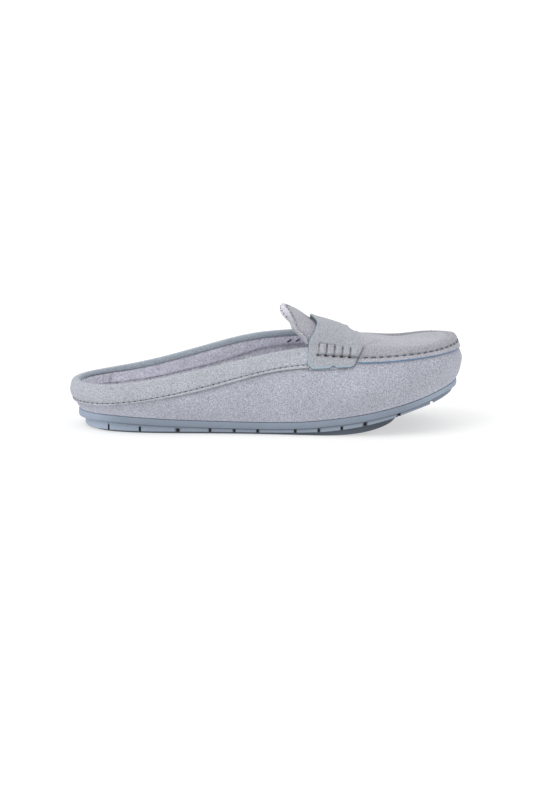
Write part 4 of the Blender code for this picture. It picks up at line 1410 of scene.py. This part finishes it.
# Tongue
# Two layers of suede with thin foam between, stitched round the rim. It comes up from under
# the strap and its tip flares back.

TONGUE = 0.0030
TONGUE_CLEAR = 0.0004
THROAT_TURN = round(turn_of(THROAT_AT) * 42) / 42
TONGUE_EDGES = table(
    "along rear hem",
    (0.474, 0.591, 0.0105),
    (0.505, 0.584, 0.0125),
    (0.540, 0.571, 0.0150),
    (0.580, 0.557, 0.0145),
    (0.650, 0.551, 0.0145),
    (0.740, 0.539, 0.0200),
    (0.830, 0.532, 0.0240),
    (0.920, 0.531, 0.0180),
    (1.000, 0.534, 0.0150),
)
TONGUE_TONE = 0.92
tongue_rear = row_curve(TONGUE_EDGES, "rear")
tongue_hem = row_curve(TONGUE_EDGES, "hem")
HEM_WIDE = 0.0028
HEM_TIP_WIDE = 0.0014
HEM_DEEP = 0.0008
HEM_ROLL = 0.0007
TONGUE_ROUND = 0.0009
TONGUE_SINK = 0.0003
HEM_WIDENS = (0.60, 0.78)
RIM_WIDE = 0.0022
HEM_SHADE = 0.34
HEM_TIP_SHADE = 0.28
SHADE_GROWS = (0.60, 0.74)
TIP_PALER = 0.56
PALE_GROWS = (0.62, 0.85)
ROLL_PALER = 0.13
STRAP_SHADE = 0.45
STRAP_SHADE_WIDE = 0.0028
# Pitch, length and radius of the stitches
TONGUE_STITCHES = (0.0042, 0.0016, 0.00026)
TIP_STITCHES = (0.0036, 0.0014, 0.00036)
TIP_FROM = 0.70
TIP_IN = 0.0022


def tongue_points(side, along, share):
    """Points on the tongue's upper and lower face, each with its tone: painted shade in the stitched groove
    and the strap's painted shadow, paler on the roll and toward the tip.
    """
    rear = tongue_rear(along)
    hem = tongue_hem(along)
    turn = turn_of(share)
    from_rim = share - rear
    groove = float(bell(from_rim, hem, HEM_WIDE + HEM_TIP_WIDE * float(smooth(along, *HEM_WIDENS))))
    roll = math.sin(math.pi * min(max(from_rim / hem, 0.0), 1.0)) ** 0.6
    edge = float(bell(from_rim, 0.0, RIM_WIDE))
    lift = -GAP + HEM_ROLL * roll - HEM_DEEP * groove - TONGUE_ROUND * edge
    crease = HEM_SHADE + HEM_TIP_SHADE * float(smooth(along, *SHADE_GROWS))
    shade = STRAP_SHADE * float(bell(share, strap_rear(along), STRAP_SHADE_WIDE))
    inward = float(smooth(from_rim, hem * 0.8, hem * 1.4))
    pale = 1 + TIP_PALER * float(smooth(along, *PALE_GROWS)) * (1 - inward)
    tone = TONGUE_TONE * pale * (1 + ROLL_PALER * roll) * (1 - crease * groove) * (1 - shade)
    lower = skin(turn, side, along, -TONGUE + TONGUE_ROUND * edge)
    return (*skin(turn, side, along, lift), tone), (*lower, 1.0)


def make_tongue():
    front = share_of(THROAT_TURN) - TONGUE_CLEAR / LENGTH
    rows = []
    for side, along in out_and_back(np.linspace(TONGUE_EDGES[0].along, 1.0, 60)):
        rear = tongue_rear(along)
        hem = tongue_hem(along)
        inner_steps = front + (rear + hem - 0.004 - front) * np.linspace(0, 1, 26)
        hem_steps = rear + hem + np.linspace(0.003, -hem, 26)
        shares = [round(float(share), 5) for share in np.concatenate([inner_steps, hem_steps])]
        rows.append([tongue_points(side, along, share) for share in shares])
    top, under = np.moveaxis(np.array(rows), 2, 0)
    patches = [(top, 0, False), (under, 1, False)] + rim_strips(top, under)
    build("padded_tongue", patches, [apron_suede, lining_leather], SUEDE_SHARP, "tongue")


make_tongue()


def make_tongue_stitches():
    hem, tip = [], []
    for side, along in out_and_back(np.linspace(TONGUE_EDGES[0].along + 0.01, 1.0, 120)):
        hem.append((turn_of(tongue_rear(along) + tongue_hem(along)), side, along, -GAP - TONGUE_SINK))
    for along in np.linspace(TIP_FROM, 1.0, 60).tolist():
        tip.append((turn_of(tongue_rear(along) + TIP_IN), LATERAL, along, -GAP - TONGUE_SINK))
    patches = stitch_row(*line_on(hem), *TONGUE_STITCHES) + stitch_row(*line_on(tip), *TIP_STITCHES)
    build("tongue_stitches", patches, [dark_thread])


make_tongue_stitches()


# Studio
# A plain pale floor that glows evenly, which also lightens the shoe's shadow on it and lights the shoe from
# below, under a bright even sky, with one broad soft light from above and in front. The camera looks along
# +Y from 11.5 degrees up, as the photograph does.

DISTANCE = 8.0
ELEVATION = math.radians(11.5)
AIM = Vector((0.0, 0.0, 0.016))
FRAME_HEIGHT = 800 * 0.0006453
FLOOR_REACH = 14.0
FLOOR_GREY = 0.48
# The floor's glow, which lightens the shoe's shadow on it
FLOOR_GLOW = 0.52
SUN_STRENGTH = 0.85
SUN_ANGLE = math.radians(40)
SUN_FROM = Vector((-0.60, -0.45, 1.0))
WHITE = (1.0, 1.0, 1.0, 1.0)


def place(name, data):
    """An object in the scene that holds the data."""
    made = bpy.data.objects.new(name, data)
    bpy.context.scene.collection.objects.link(made)
    return made


def make_studio():
    scene = bpy.context.scene
    scene.view_settings.view_transform = "Standard"
    scene.world = bpy.data.worlds.new("studio")
    scene.world.use_nodes = True
    backdrop = scene.world.node_tree.nodes["Background"]
    backdrop.inputs["Color"].default_value = WHITE
    backdrop.inputs["Strength"].default_value = 1.0
    mesh = bpy.data.meshes.new("floor")
    corners = [(x * FLOOR_REACH, y * FLOOR_REACH, 0.0) for x, y in ((-1, -1), (1, -1), (1, 1), (-1, 1))]
    mesh.from_pydata(corners, [], [(0, 1, 2, 3)])
    grey = (FLOOR_GREY, FLOOR_GREY, FLOOR_GREY, 1.0)
    glow = {"Emission_Color": WHITE, "Emission_Strength": FLOOR_GLOW}
    mesh.materials.append(new_material("pale floor", 0.9, 0.0, Base_Color=grey, **glow)[0])
    floor = place("floor", mesh)
    sun = bpy.data.lights.new("broad light", "SUN")
    sun.energy = SUN_STRENGTH
    sun.angle = SUN_ANGLE
    place("broad light", sun).rotation_euler = SUN_FROM.to_track_quat("Z", "Y").to_euler()
    lens = bpy.data.cameras.new("camera")
    lens.lens = lens.sensor_width * DISTANCE / FRAME_HEIGHT
    camera = place("camera", lens)
    back = Vector((0.0, -math.cos(ELEVATION), math.sin(ELEVATION)))
    camera.location = AIM + back * DISTANCE
    camera.rotation_euler = back.to_track_quat("Z", "Y").to_euler()
    scene.camera = camera


make_studio()
